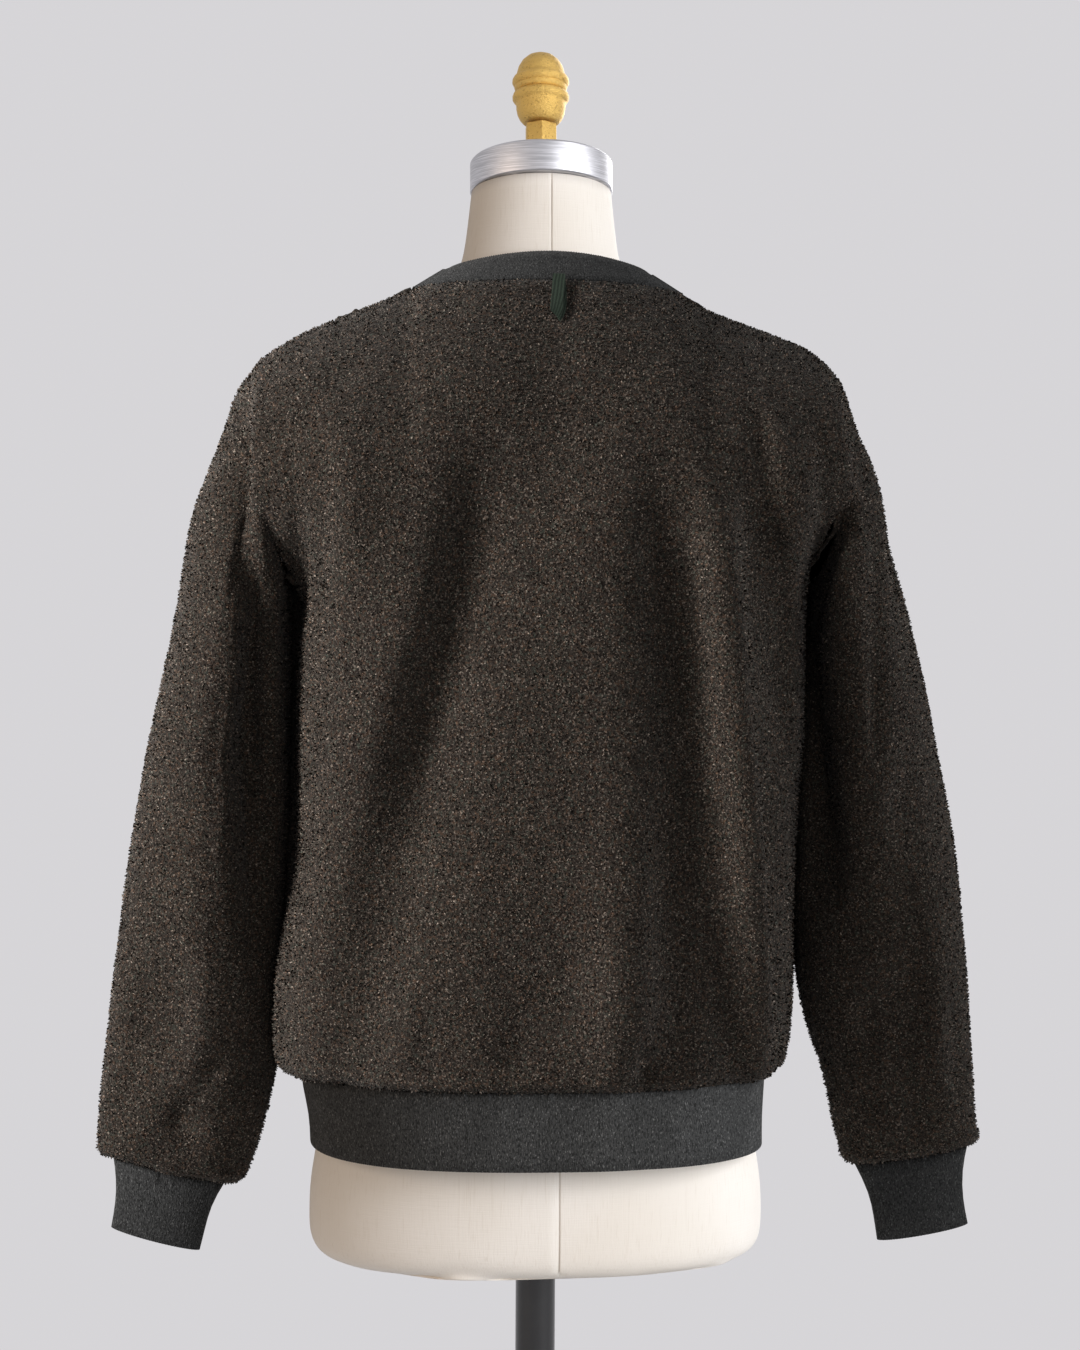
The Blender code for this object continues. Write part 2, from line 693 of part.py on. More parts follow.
def add_object(name, vertices, faces, material):
    """Link a new mesh object with outward faces and its own material."""
    mesh = bpy.data.meshes.new(name)
    mesh.from_pydata([tuple(v) for v in vertices], [], faces)
    work = bmesh.new()
    work.from_mesh(mesh)
    bmesh.ops.recalc_face_normals(work, faces=work.faces)
    if work.calc_volume(signed=True) < 0:
        bmesh.ops.reverse_faces(work, faces=work.faces)
    work.to_mesh(mesh)
    work.free()
    mesh.shade_smooth()
    mesh.set_sharp_from_angle(angle=SHARP_ANGLE)
    obj = bpy.data.objects.new(name, mesh)
    bpy.data.collections[COLLECTION].objects.link(obj)
    obj.data.materials.append(material)
    return obj


def principled(name, colour, roughness, metallic=0.0):
    """Return a plain material."""
    material = bpy.data.materials.new(name)
    material.use_nodes = True
    shader = material.node_tree.nodes["Principled BSDF"]
    shader.inputs["Base Color"].default_value = (*colour, 1.0)
    shader.inputs["Roughness"].default_value = roughness
    shader.inputs["Metallic"].default_value = metallic
    return material


def turned(name, profile, material, steps, place=(0.0, 0.0, 0.0)):
    """Link a turned piece from a profile of radius and height, listed from top to bottom."""
    mesh = bpy.data.meshes.new(name)
    edges = [(i, i + 1) for i in range(len(profile) - 1)]
    mesh.from_pydata([(r, 0.0, z) for r, z in profile], edges, [])
    obj = bpy.data.objects.new(name, mesh)
    obj.location = place
    bpy.data.collections[COLLECTION].objects.link(obj)
    screw = obj.modifiers.new("turn", "SCREW")
    screw.steps = steps
    screw.render_steps = steps
    screw.use_merge_vertices = True
    screw.merge_threshold = 0.00001
    obj.data.materials.append(material)
    return obj


def skin_pieces():
    """Return every cloth piece's outer grid, its half panels and the hem's grid.

    A piece's facing is 1 where its rows and columns turn outwards as they are listed, or else -1.
    """
    sleeves = {1: LEFT_SLEEVE, -1: RIGHT_SLEEVE}
    halves = {}
    for side in (1, -1):
        back = half_panel(side, 1, sleeves[side])
        front = lap_front(half_panel(side, -1, sleeves[side]), side)
        front[: BODY_ROWS + 1, -1] = back[: BODY_ROWS + 1, -1]
        front[-1] = back[-1, BACK_NECK_COLUMNS:]
        halves[side, 1] = back
        halves[side, -1] = front
    halves[-1, 1][:, 0] = halves[1, 1][:, 0]
    back = np.concatenate([halves[-1, 1][:, ::-1], halves[1, 1][:, 1:]], axis=1)
    hem_row = np.concatenate([
        halves[1, -1][0],
        halves[1, 1][0][::-1][1:],
        halves[-1, 1][0][1:],
        halves[-1, -1][0][::-1][1:],
    ])
    hem = hem_grid(hem_row)
    pieces = {
        "back_panel": ClothPiece(back, False, FLEECE_WALL, -1),
        "front_left": ClothPiece(halves[1, -1], False, FLEECE_WALL, 1),
        "front_right": ClothPiece(halves[-1, -1], False, FLEECE_WALL, -1),
        "hem_band": ClothPiece(hem, False, RIB_WALL, -1),
    }
    names = {1: "left", -1: "right"}
    folds = {1: LEFT_SLEEVE_FOLDS, -1: RIGHT_SLEEVE_FOLDS}
    cuffs = {1: LEFT_CUFF, -1: RIGHT_CUFF}
    for side in (1, -1):
        back_edge = halves[side, 1][BODY_ROWS:, -1]
        front_edge = halves[side, -1][BODY_ROWS:, -1]
        armhole = np.concatenate([back_edge, front_edge[::-1][1:-1]])
        sleeve = sleeve_grid(sleeves[side], folds[side], side, armhole)
        cuff = cuff_grid(cuffs[side], side)
        cuff[0] = sleeve[-1]
        pieces["sleeve_" + names[side]] = ClothPiece(sleeve, True, FLEECE_WALL, side)
        pieces["cuff_" + names[side]] = ClothPiece(cuff, True, RIB_WALL, side)
    return pieces, halves, hem


def band_piece(halves, hem, normals):
    """Return the neck and front band's outer and inner grids, from the left hem round the neck."""
    back_rows, back_columns = normals["back_panel"].shape[:2]
    middle = back_columns // 2
    reach = BACK_NECK_COLUMNS
    path = np.concatenate([
        hem[::-1, 0],
        halves[1, -1][1:, 0],
        halves[1, 1][-1, :reach][::-1],
        halves[-1, 1][-1, 1 : reach + 1],
        halves[-1, -1][::-1][1:, 0],
        hem[1:, -1],
    ])
    outward = np.concatenate([
        normals["hem_band"][::-1, 0],
        normals["front_left"][1:, 0],
        normals["back_panel"][-1, middle : middle + reach][::-1],
        normals["back_panel"][-1, middle - reach : middle][::-1],
        normals["front_right"][::-1][1:, 0],
        normals["hem_band"][1:, -1],
    ])
    seam_outward = outward.copy()
    along = np.gradient(path, axis=0)
    along /= np.linalg.norm(along, axis=1)[:, None]
    in_front = 1.0 - smooth_step(path[:, 2], VEE_HEIGHT, VEE_HEIGHT + BAND_TURN)
    outward[:, 0] *= 1.0 - in_front
    across = np.cross(outward, along)
    across /= np.linalg.norm(across, axis=1)[:, None]
    neck = path[:, :2] - np.array([NECK_SHIFT_X, SEAM_Y])
    neck /= np.linalg.norm(neck, axis=1)[:, None]
    lift = BAND_SIDE_LIFT + (BAND_BACK_LIFT - BAND_SIDE_LIFT) * np.clip(neck[:, 1], 0.0, 1.0) ** 2
    leaning = np.column_stack([-neck * np.cos(lift)[:, None], np.sin(lift)])
    round_neck = smooth_step(path[:, 2], *NECK_TURN)[:, None]
    across = across * (1.0 - round_neck) + leaning * round_neck
    across -= along * np.sum(across * along, axis=1)[:, None]
    across /= np.linalg.norm(across, axis=1)[:, None]
    outward = np.cross(along, across)
    steps = np.linspace(0.0, BAND_WIDTH, BAND_STEPS + 1)
    steps[0] = SEAM_GAP
    skin = path[:, None] + across[:, None] * steps[None, :, None]
    return skin, np.stack([seam_outward] + [outward] * BAND_STEPS, axis=1)


def build_cloth(materials):
    """Link the cardigan's pieces and return their objects by name."""
    pieces, halves, hem = skin_pieces()
    normals = joined_normals(pieces)
    objects = {}

    def link(name, skin, outward, closed, wall):
        inset = RIB_INSET if wall == RIB_WALL else 0.0
        outer = trim(skin - outward * inset, closed, SEAM_GAP / 2)
        inner = trim(skin - outward * (inset + wall), closed, SEAM_GAP / 2)
        material = materials["rib_knit" if wall == RIB_WALL else "fleece"]
        objects[name] = add_object(name, *wall_mesh(outer, inner, closed), material)

    for name, piece in pieces.items():
        link(name, piece.grid, normals[name], piece.closed, piece.wall)
    skin, outward = band_piece(halves, hem, normals)
    link("neck_and_front_band", skin, outward, False, RIB_WALL)
    centre = halves[1, 1][:, 0]
    objects["hanger_loop"] = hanger_loop(centre[::-1], materials["tape"])
    return objects


def hanger_loop(centre, material):
    """Link the loop of tape that hangs from the neck seam, against the back panel's middle."""
    lengths = np.concatenate([[0.0], np.cumsum(np.linalg.norm(np.diff(centre, axis=0), axis=1))])
    places = np.linspace(LOOP_START, LOOP_DROP, LOOP_POINTS)
    down = np.stack([np.interp(places, lengths, centre[:, k]) for k in (1, 2)], axis=1)
    run = np.gradient(down, axis=0)
    run /= np.linalg.norm(run, axis=1)[:, None]
    out = np.stack([-run[:, 1], run[:, 0]], axis=1)
    near = down + out * (LOOP_CLEAR + LOOP_TAPE)
    spread = LOOP_TAPE + LOOP_SLACK
    far = down[::-1] + out[::-1] * (LOOP_CLEAR + LOOP_TAPE + spread)
    turn = []
    middle = (near[-1] + far[0]) / 2
    for angle in np.linspace(0.0, math.pi, LOOP_POINTS)[1:-1]:
        turn.append(middle + run[-1] * math.sin(angle) * spread / 2
                    - out[-1] * math.cos(angle) * spread / 2)
    path = np.concatenate([near, turn, far])
    step = np.gradient(path, axis=0)
    step /= np.linalg.norm(step, axis=1)[:, None]
    side = np.stack([-step[:, 1], step[:, 0]], axis=1)
    grids = []
    for offset in (0.0, -LOOP_TAPE):
        edge = path + side * offset
        columns = [
            np.stack([np.full(len(edge), LOOP_X + x), edge[:, 0], edge[:, 1]], axis=1)
            for x in (-LOOP_WIDTH / 2, LOOP_WIDTH / 2)
        ]
        grids.append(np.stack(columns, axis=1))
    return add_object("hanger_loop", *wall_mesh(grids[0], grids[1], False), material)


def surface_below(obj, start, direction):
    """Return the point and normal where a ray from the start meets an object."""
    tree = BVHTree.FromPolygons(
        [v.co for v in obj.data.vertices], [tuple(p.vertices) for p in obj.data.polygons]
    )
    place, normal, _, _ = tree.ray_cast(start, direction)
    return place, normal


def build_buttons(band, material):
    """Link the buttons, seated on the front band's upper layer."""
    profile = (
        (0.0, BUTTON_THICK - BUTTON_RIM / 2),
        (BUTTON_RADIUS * 0.58, BUTTON_THICK - BUTTON_RIM / 2),
        (BUTTON_RADIUS * 0.74, BUTTON_THICK),
        (BUTTON_RADIUS * 0.92, BUTTON_THICK),
        (BUTTON_RADIUS, BUTTON_THICK * 0.6),
        (BUTTON_RADIUS * 0.88, 0.0),
        (0.0, 0.0),
    )
    for index, height in enumerate(np.linspace(BUTTON_TOP, BUTTON_BOTTOM, BUTTON_COUNT)):
        place, normal = surface_below(band, (BUTTON_X, -0.3, height), (0.0, 1.0, 0.0))
        button = turned(f"button_{index + 1}", profile, material, BUTTON_STEPS)
        button.rotation_mode = "QUATERNION"
        button.rotation_quaternion = normal.to_track_quat("Z", "Y")
        button.location = place + normal * SEAT_GAP


def form_rings(cloth):
    """Return the dress form's rings, drawn in where the cardigan rests on them."""
    vertices, faces = [], []
    for obj in cloth:
        first = len(vertices)
        vertices += [v.co.copy() for v in obj.data.vertices]
        faces += [tuple(first + i for i in p.vertices) for p in obj.data.polygons]
    tree = BVHTree.FromPolygons(vertices, both_splits(faces))
    angles = np.linspace(0.0, 2 * math.pi, FORM_AROUND, endpoint=False)
    rings = []
    for level in FORM_LEVELS:
        c, s = np.cos(angles), np.sin(angles)
        depth = np.where(s > 0, level.back, level.front)
        power = np.where(s > 0, max(level.front_power, FORM_BACK_POWER), level.front_power)
        x = level.half_width * np.sign(c) * np.abs(c) ** (2.0 / power)
        y = PIVOT_Y + depth * np.sign(s) * np.abs(s) ** (2.0 / power)
        ring = []
        for px, py in zip(x, y):
            reach = math.hypot(px, py - PIVOT_Y)
            heading = (px / reach, (py - PIVOT_Y) / reach, 0.0)
            _, normal, _, distance = tree.ray_cast((0.0, PIVOT_Y, level.height), heading)
            if distance is not None and level.height < NECK_TILT_FROM:
                facing = abs(normal[0] * heading[0] + normal[1] * heading[1])
                reach = min(reach, distance - FORM_GAP / max(facing, FORM_FACING_LEAST))
            ring.append((heading[0] * reach, PIVOT_Y + heading[1] * reach, level.height))
        rings.append(ring)
    rings = settle(np.array(rings), tree)
    tilt = smooth_step(rings[..., 2], NECK_TILT_FROM, NECK_TOP)
    rings[..., 2] += (rings[..., 1] - PIVOT_Y) * math.tan(NECK_TILT) * tilt
    return rings


def ring_faces(count, around):
    """Return the faces of a closed loft through rings, with both ends capped."""
    faces = []
    for i in range(count - 1):
        for j in range(around):
            k = (j + 1) % around
            low, high = i * around, (i + 1) * around
            faces.append((low + j, low + k, high + k, high + j))
    faces.append(tuple(range(around))[::-1])
    faces.append(tuple((count - 1) * around + j for j in range(around)))
    return faces


def both_splits(faces):
    """Return the triangles of either way of splitting each four-sided face."""
    result = []
    for face in faces:
        if len(face) == 4:
            a, b, c, d = face
            result.extend([(a, b, c), (a, c, d), (a, b, d), (b, c, d)])
        elif len(face) == 3:
            result.append(face)
    return result


def settle(rings, tree):
    """Draw in the form's points whose faces would still touch the cloth between its points."""
    faces = both_splits(ring_faces(*rings.shape[:2]))
    points = rings.reshape(-1, 3).copy()
    for _ in range(SETTLE_ROUNDS):
        form = BVHTree.FromPolygons([tuple(p) for p in points], faces)
        touching = {i for pair in form.overlap(tree) for i in faces[pair[0]]}
        if not touching:
            break
        for index in touching:
            away = points[index, :2] - np.array([0.0, PIVOT_Y])
            points[index, :2] -= away / np.linalg.norm(away) * SETTLE_STEP
    return points.reshape(rings.shape)


def build_form(cloth, material):
    """Link the padded body and neck of the dress form, a closed loft through its rings."""
    rings = form_rings(cloth)
    faces = ring_faces(*rings.shape[:2])
    return add_object("dress_form", rings.reshape(-1, 3), faces, material)


def build_neck_cap(material):
    """Link the round metal cap that closes the neck, set on its slope."""
    work = bmesh.new()
    bmesh.ops.create_cone(
        work,
        cap_ends=True,
        segments=CAP_STEPS,
        radius1=CAP_RADIUS,
        radius2=CAP_RADIUS,
        depth=CAP_HEIGHT,
    )
    mesh = bpy.data.meshes.new("neck_cap")
    work.to_mesh(mesh)
    work.free()
    cap = bpy.data.objects.new("neck_cap", mesh)
    cap.rotation_euler[0] = NECK_TILT
    lift = NECK_TOP + CAP_HEIGHT / 2 + SEAM_GAP
    cap.location = (0.0, PIVOT_Y - math.sin(NECK_TILT) * CAP_HEIGHT / 2, lift)
    bevel = cap.modifiers.new("edge", "BEVEL")
    bevel.width = CAP_BEVEL
    bevel.segments = 2
    bevel.limit_method = "ANGLE"
    bpy.data.collections[COLLECTION].objects.link(cap)
    cap.data.materials.append(material)
    return cap


def build_finial(cap, material):
    """Link the turned finial and its six-sided stem, square to the neck cap."""
    top = CAP_HEIGHT / 2 + SEAM_GAP
    profile = [(r, z - CAP_TOP + top) for r, z in FINIAL_PROFILE]
    finial = turned("finial", profile, material, FINIAL_STEPS)
    work = bmesh.new()
    radius = STEM_ACROSS / 2 / math.cos(math.pi / 6)
    height = STEM_TOP - CAP_TOP - SEAM_GAP
    bmesh.ops.create_cone(
        work, cap_ends=True, segments=6, radius1=radius, radius2=radius, depth=height
    )
    bmesh.ops.translate(work, verts=work.verts, vec=(0.0, 0.0, top + height / 2))
    mesh = bpy.data.meshes.new("finial_stem")
    work.to_mesh(mesh)
    work.free()
    stem = bpy.data.objects.new("finial_stem", mesh)
    bpy.data.collections[COLLECTION].objects.link(stem)
    stem.data.materials.append(material.copy())
    for piece in (finial, stem):
        piece.location = cap.location
        piece.rotation_euler = cap.rotation_euler


def build_stand(form_bottom, materials):
    """Link the pole and the round base with its socket."""
    base = (
        (0.0, HUB_HEIGHT),
        (HUB_RADIUS - BASE_EDGE, HUB_HEIGHT),
        (HUB_RADIUS, HUB_HEIGHT - BASE_EDGE),
        (HUB_RADIUS, BASE_THICK + HUB_FILLET),
        (HUB_RADIUS + HUB_FILLET, BASE_THICK),
        (BASE_RADIUS - BASE_EDGE, BASE_THICK),
        (BASE_RADIUS, BASE_THICK - BASE_EDGE),
        (BASE_RADIUS, BASE_EDGE / 2),
        (BASE_RADIUS - BASE_EDGE / 2, 0.0),
        (0.0, 0.0),
    )
    turned("base", base, materials["base"], BASE_STEPS)
    pole_low = HUB_HEIGHT + SEAM_GAP
    pole_high = form_bottom - SEAM_GAP
    pole = (
        (0.0, pole_high),
        (POLE_RADIUS, pole_high),
        (POLE_RADIUS, pole_low),
        (0.0, pole_low),
    )
    turned("pole", pole, materials["pole"], POLE_STEPS)


def main():
    """Build the cardigan, then the dress form and stand that carry it."""
    for obj in list(bpy.data.objects):
        bpy.data.objects.remove(obj)
    collection = bpy.data.collections.new(COLLECTION)
    bpy.context.scene.collection.children.link(collection)
    materials = {
        "fleece": principled("fleece", (0.040, 0.035, 0.024), 0.95),
        "rib_knit": principled("rib_knit", (0.018, 0.022, 0.019), 0.90),
        "tape": principled("tape", (0.015, 0.028, 0.018), 0.60),
        "horn": principled("horn", (0.035, 0.026, 0.018), 0.35),
        "linen": principled("linen", (0.78, 0.72, 0.62), 0.90),
        "aluminium": principled("aluminium", (0.72, 0.72, 0.73), 0.35, 1.0),
        "gilt": principled("gilt", (0.70, 0.48, 0.16), 0.38, 1.0),
        "pole": principled("pole", (0.012, 0.012, 0.013), 0.22, 0.6),
        "base": principled("base", (0.015, 0.015, 0.016), 0.40, 0.4),
    }
    cloth = build_cloth(materials)
    build_buttons(cloth["neck_and_front_band"], materials["horn"])
    build_form(list(cloth.values()), materials["linen"])
    cap = build_neck_cap(materials["aluminium"])
    build_finial(cap, materials["gilt"])
    build_stand(FORM_LEVELS[0].height, materials)


main()
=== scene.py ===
"""Looks of a fleece cardigan worn on a linen dress form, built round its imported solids.

Metres, +Z up. The cardigan's back faces +Y and its left side lies at +X.
"""

import json
import logging
import math
from dataclasses import dataclass, field
from enum import Enum
from functools import partial
from typing import Callable, NamedTuple, Optional, Sequence, Union

import bmesh
import bpy
import numpy as np
from mathutils import Matrix, Vector, noise
from mathutils.bvhtree import BVHTree
from mathutils.kdtree import KDTree

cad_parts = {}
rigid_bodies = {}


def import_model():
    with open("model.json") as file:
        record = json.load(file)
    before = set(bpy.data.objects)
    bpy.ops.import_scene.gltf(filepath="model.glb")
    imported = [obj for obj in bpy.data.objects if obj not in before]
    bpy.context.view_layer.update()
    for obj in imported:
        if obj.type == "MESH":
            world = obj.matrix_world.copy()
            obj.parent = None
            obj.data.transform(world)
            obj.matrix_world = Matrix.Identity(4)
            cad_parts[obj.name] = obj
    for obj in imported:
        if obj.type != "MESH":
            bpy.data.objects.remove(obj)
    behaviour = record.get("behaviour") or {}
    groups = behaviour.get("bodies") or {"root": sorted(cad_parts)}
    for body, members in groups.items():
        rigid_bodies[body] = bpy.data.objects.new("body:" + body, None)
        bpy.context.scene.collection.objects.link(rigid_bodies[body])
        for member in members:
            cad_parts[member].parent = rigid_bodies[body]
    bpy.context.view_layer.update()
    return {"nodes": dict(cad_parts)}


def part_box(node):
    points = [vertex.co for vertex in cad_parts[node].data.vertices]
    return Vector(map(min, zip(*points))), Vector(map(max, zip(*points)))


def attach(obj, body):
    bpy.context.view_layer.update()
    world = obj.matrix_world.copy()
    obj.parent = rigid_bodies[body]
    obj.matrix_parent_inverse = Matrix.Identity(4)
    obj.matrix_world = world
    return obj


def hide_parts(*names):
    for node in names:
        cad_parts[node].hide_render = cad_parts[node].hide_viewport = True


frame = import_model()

LOG = logging.getLogger("cardigan")
BODY = "root"

# Points nearer than WELD are joined, and turned or cut ones that are nearer than TOUCH.
WELD = 1e-5
TOUCH = 1e-6
# The middle of the body: its depth, the height of its chest, and its share of a place's x.
BODY_Y = -0.004
CHEST_Z = 1.20
MIDDLE_SHARE = 0.55
# A sleeve's middle line: how many levels it has, and how near to one its points lie.
TUBE_LEVELS = 24
TUBE_REACH = 0.022
# A wall's outer face: how much it looks outwards, and where and how far its wall is felt.
SKIN_FACING = 0.12
SKIN_START = 0.0002
SKIN_LOOK = 3.0
SKIN_DEPTH = 1.8
# A rounded surface is fitted to its points in rounds, each of which takes this share of the error.
FIT_ROUNDS = 4
FIT_SHARE = 0.9
# A band's level edges rise less than LEVEL_EDGE of their length, and its other ones follow the rim
# by more than ALONG_RIM. An edge is sharp past SHARP_EDGE radians.
LEVEL_EDGE = 0.6
ALONG_RIM = 0.7
SHARP_EDGE = 0.6

Colour = tuple[float, float, float]
Line = tuple[tuple[float, float], ...]
Value = Union["Wire", float]
BMesh = bmesh.types.BMesh


class Face(Enum):
    """Side of the cardigan that a crease lies on."""

    BACK = 1
    FRONT = -1


class Relief(Enum):
    """Cross-section of a crease."""

    RIDGE = "a ridge, or a trough where its rise is negative"
    STEP = "a flank, high on the wearer's left and low on the right"


class Run(Enum):
    """Way that the ribs of a knitted band run, by the edges that they follow."""

    ROUND = "ring edges are the wales' spacing"
    ALONG = "strip edges are the wales' spacing"


# Shader expressions


class Wire:
    """A node's output that takes part in Python arithmetic."""

    def __init__(self, graph: "Graph", socket: bpy.types.NodeSocket) -> None:
        """Keep the socket and the graph that it belongs to."""
        self.graph = graph
        self.socket = socket

    def _math(self, operation: str, *values: Value) -> "Wire":
        """Return the result of a Math node on these values."""
        return self.graph.node("ShaderNodeMath", {"operation": operation}, dict(enumerate(values)))

    def __add__(self, other: Value) -> "Wire":
        """Add."""
        return self._math("ADD", self, other)

    __radd__ = __add__

    def __mul__(self, other: Value) -> "Wire":
        """Multiply."""
        return self._math("MULTIPLY", self, other)

    __rmul__ = __mul__

    def step(self, low: float, high: float) -> "Wire":
        """Rise smoothly from 0 at low to 1 at high."""
        inputs = {"Value": self, "From Min": low, "From Max": high}
        return self.graph.node("ShaderNodeMapRange", {"interpolation_type": "SMOOTHSTEP"}, inputs)


class Graph:
    """A node tree in the making."""

    def __init__(self, tree: bpy.types.NodeTree) -> None:
        """Keep the tree's nodes and links."""
        self.nodes = tree.nodes
        self.links = tree.links

    def feed(self, node: bpy.types.Node, inputs: dict) -> None:
        """Set a node's inputs.

        Args:
            node: The node.
            inputs: Values or wires by socket name or number.
        """
        for key, value in inputs.items():
            if isinstance(value, Wire):
                self.links.new(value.socket, node.inputs[key])
            else:
                node.inputs[key].default_value = value

    def node(
        self,
        kind: str,
        settings: Optional[dict] = None,
        inputs: Optional[dict] = None,
        output: Union[int, str] = 0,
    ) -> Wire:
        """Add a node.

        Args:
            kind: The node's type.
            settings: Its properties, set first.
            inputs: Values or wires by socket name or number.
            output: The output socket that is returned.

        Returns:
            The wire of that output.
        """
        node = self.nodes.new(kind)
        for key, value in (settings or {}).items():
            setattr(node, key, value)
        self.feed(node, inputs or {})
        return Wire(self, node.outputs[output])


class Dye(Graph):
    """A material in the making: its nodes, its pattern space and its shader."""

    def __init__(self, name: str, stretch: Sequence[float] = (1.0, 1.0, 1.0)) -> None:
        """Start a material.

        Args:
            name: The material's name.
            stretch: Scale of the pattern along each axis of the object's space.
        """
        self.material = bpy.data.materials.new(name)
        self.material.use_nodes = True
        super().__init__(self.material.node_tree)
        self.shader = self.nodes["Principled BSDF"]
        self.plain = self.node("ShaderNodeTexCoord", output="Object")
        inputs = {"Vector": self.plain, "Scale": tuple(stretch)}
        self.space = self.node("ShaderNodeMapping", inputs=inputs)

    def noise(self, scale: float, detail: float = 2.0, roughness: float = 0.5,
              shift: float = 0.0, space: Optional[Wire] = None) -> Wire:
        """Return a noise pattern.

        Args:
            scale: Waves per metre.
            detail: Finer layers that are added.
            roughness: Weight of the finer layers.
            shift: Offset that makes two patterns differ.
            space: Coordinates, or None for the material's own.

        Returns:
            A value round 0.5.
        """
        base = space or self.space
        if shift:
            offset = (shift, shift * 0.7, shift * 1.3)
            base = self.node("ShaderNodeVectorMath", {"operation": "ADD"}, {0: base, 1: offset})
        inputs = {"Scale": scale, "Detail": detail, "Roughness": roughness, "Vector": base}
        return self.node("ShaderNodeTexNoise", {}, inputs)

    def blend(self, first: Union[Wire, Colour], second: Union[Wire, Colour], factor: Value) -> Wire:
        """Lay one colour over another.

        Args:
            first: The colour below.
            second: The colour on top.
            factor: How much of the second shows, from 0 to 1.

        Returns:
            The wire of the blended colour.
        """
        inputs = {"Factor": factor}
        for key, value in ((6, first), (7, second)):
            inputs[key] = value if isinstance(value, Wire) else (*value, 1.0)
        return self.node("ShaderNodeMix", {"data_type": "RGBA"}, inputs, 2)

    def part(self, vector: Wire, axis: str) -> Wire:
        """Return one part of a vector."""
        return self.node("ShaderNodeSeparateXYZ", {}, {0: vector}, axis)

    def finish(self, colour: Wire, roughness: Value, height: Optional[Wire] = None,
               depth: float = 0.001, strength: float = 1.0, **constants: float) -> bpy.types.Material:
        """Wire the shader.

        Args:
            colour: Base colour.
            roughness: Roughness, a wire or a number.
            height: Relief, if any.
            depth: How deep the relief is, in metres.
            strength: How much of the relief shows.
            constants: Values of the shader's other sockets, with spaces as underscores.

        Returns:
            The finished material.
        """
        self.feed(self.shader, {"Base Color": colour, "Roughness": roughness})
        self.feed(self.shader, {key.replace("_", " "): value for key, value in constants.items()})
        if height is not None:
            relief = {"Height": height, "Distance": depth, "Strength": strength}
            self.feed(self.shader, {"Normal": self.node("ShaderNodeBump", {}, relief)})
        return self.material


# Finishes


@dataclass(frozen=True)
class FleeceFinish:
    """Dark olive-brown heather fleece with green-grey and warm brown fibres."""

    name: str = "fleece_ground"
    # Whether this is the curls' material, with painted shade at their roots, rather than the ground
    # cloth's.
    tips: bool = False
    # Darkest fibres; also the colour of the painted shade at the curls' roots and on the ground cloth.
    dark: Colour = (0.0070, 0.0052, 0.0042)
    body: Colour = (0.078, 0.062, 0.050)
    light: Colour = (0.460, 0.380, 0.315)
    green: Colour = (0.096, 0.110, 0.088)
    brown: Colour = (0.170, 0.103, 0.068)

    def make(self) -> bpy.types.Material:
        """Dye the fibres, and paint shade on the ground cloth between the curls or on the curls' roots.

        Returns:
            The material of the ground cloth, darkened by painted shade, or of the curls, with painted shade
            at their roots.
        """
        dye = Dye(self.name)
        fibres = dye.noise(560.0, 3.0, 0.7)
        patches = dye.noise(24.0, 3.0, 0.55, 3.1)
        lit = dye.blend(self.dark, self.body, fibres.step(0.40, 0.55))
        lit = dye.blend(lit, self.green, dye.noise(460.0, 2.0, 0.6, 7.7).step(0.54, 0.64) * 0.8)
        lit = dye.blend(lit, self.brown, dye.noise(430.0, 2.0, 0.6, 12.3).step(0.55, 0.64) * 0.8)
        lit = dye.blend(lit, self.light, dye.noise(640.0, 2.0, 0.6, 17.9).step(0.57, 0.67) * 0.85)
        lit = dye.blend(lit, self.dark, patches.step(0.62, 0.38) * 0.10)
        # Painted shade: the curls darken from tip to root, and the ground cloth seen between them is
        # darkened throughout.
        if self.tips:
            along = dye.part(dye.node("ShaderNodeUVMap"), "Y")
            lit = dye.blend(self.dark, lit, along.step(-0.2, 0.7))
        else:
            lit = dye.blend(lit, self.dark, 0.62)
        relief = dye.noise(380.0, 3.0, 0.6, 1.7) + dye.noise(850.0, 1.0, 0.5, 5.3) * 0.5
        return dye.finish(
            lit, 0.95, relief, 0.0013, 0.4 if self.tips else 1.0,
            Sheen_Weight=0.06, Sheen_Roughness=0.6, Specular_IOR_Level=0.05,
        )


@dataclass(frozen=True)
class RibFinish:
    """Fine rib knit in dark green-grey heather."""

    name: str = "heather_rib"
    dark: Colour = (0.0085, 0.0090, 0.0090)
    body: Colour = (0.042, 0.043, 0.043)
    light: Colour = (0.170, 0.170, 0.168)

    def make(self) -> bpy.types.Material:
        """Dye the stitches in three tones.

        Returns:
            The rib's material.
        """
        dye = Dye(self.name, (1.0, 1.0, 0.5))
        stitches = dye.noise(900.0, 2.0, 0.6)
        lit = dye.blend(self.dark, self.body, stitches.step(0.36, 0.58))
        lit = dye.blend(lit, self.light, dye.noise(1050.0, 2.0, 0.6, 9.1).step(0.58, 0.70) * 0.75)
        lit = dye.blend(lit, self.dark, dye.noise(40.0, 2.0, 0.5, 4.4).step(0.62, 0.40) * 0.2)
        relief = dye.noise(900.0, 1.0, 0.5, 2.2)
        return dye.finish(lit, 0.88, relief, 0.0009, 0.9, Sheen_Weight=0.05, Specular_IOR_Level=0.25)


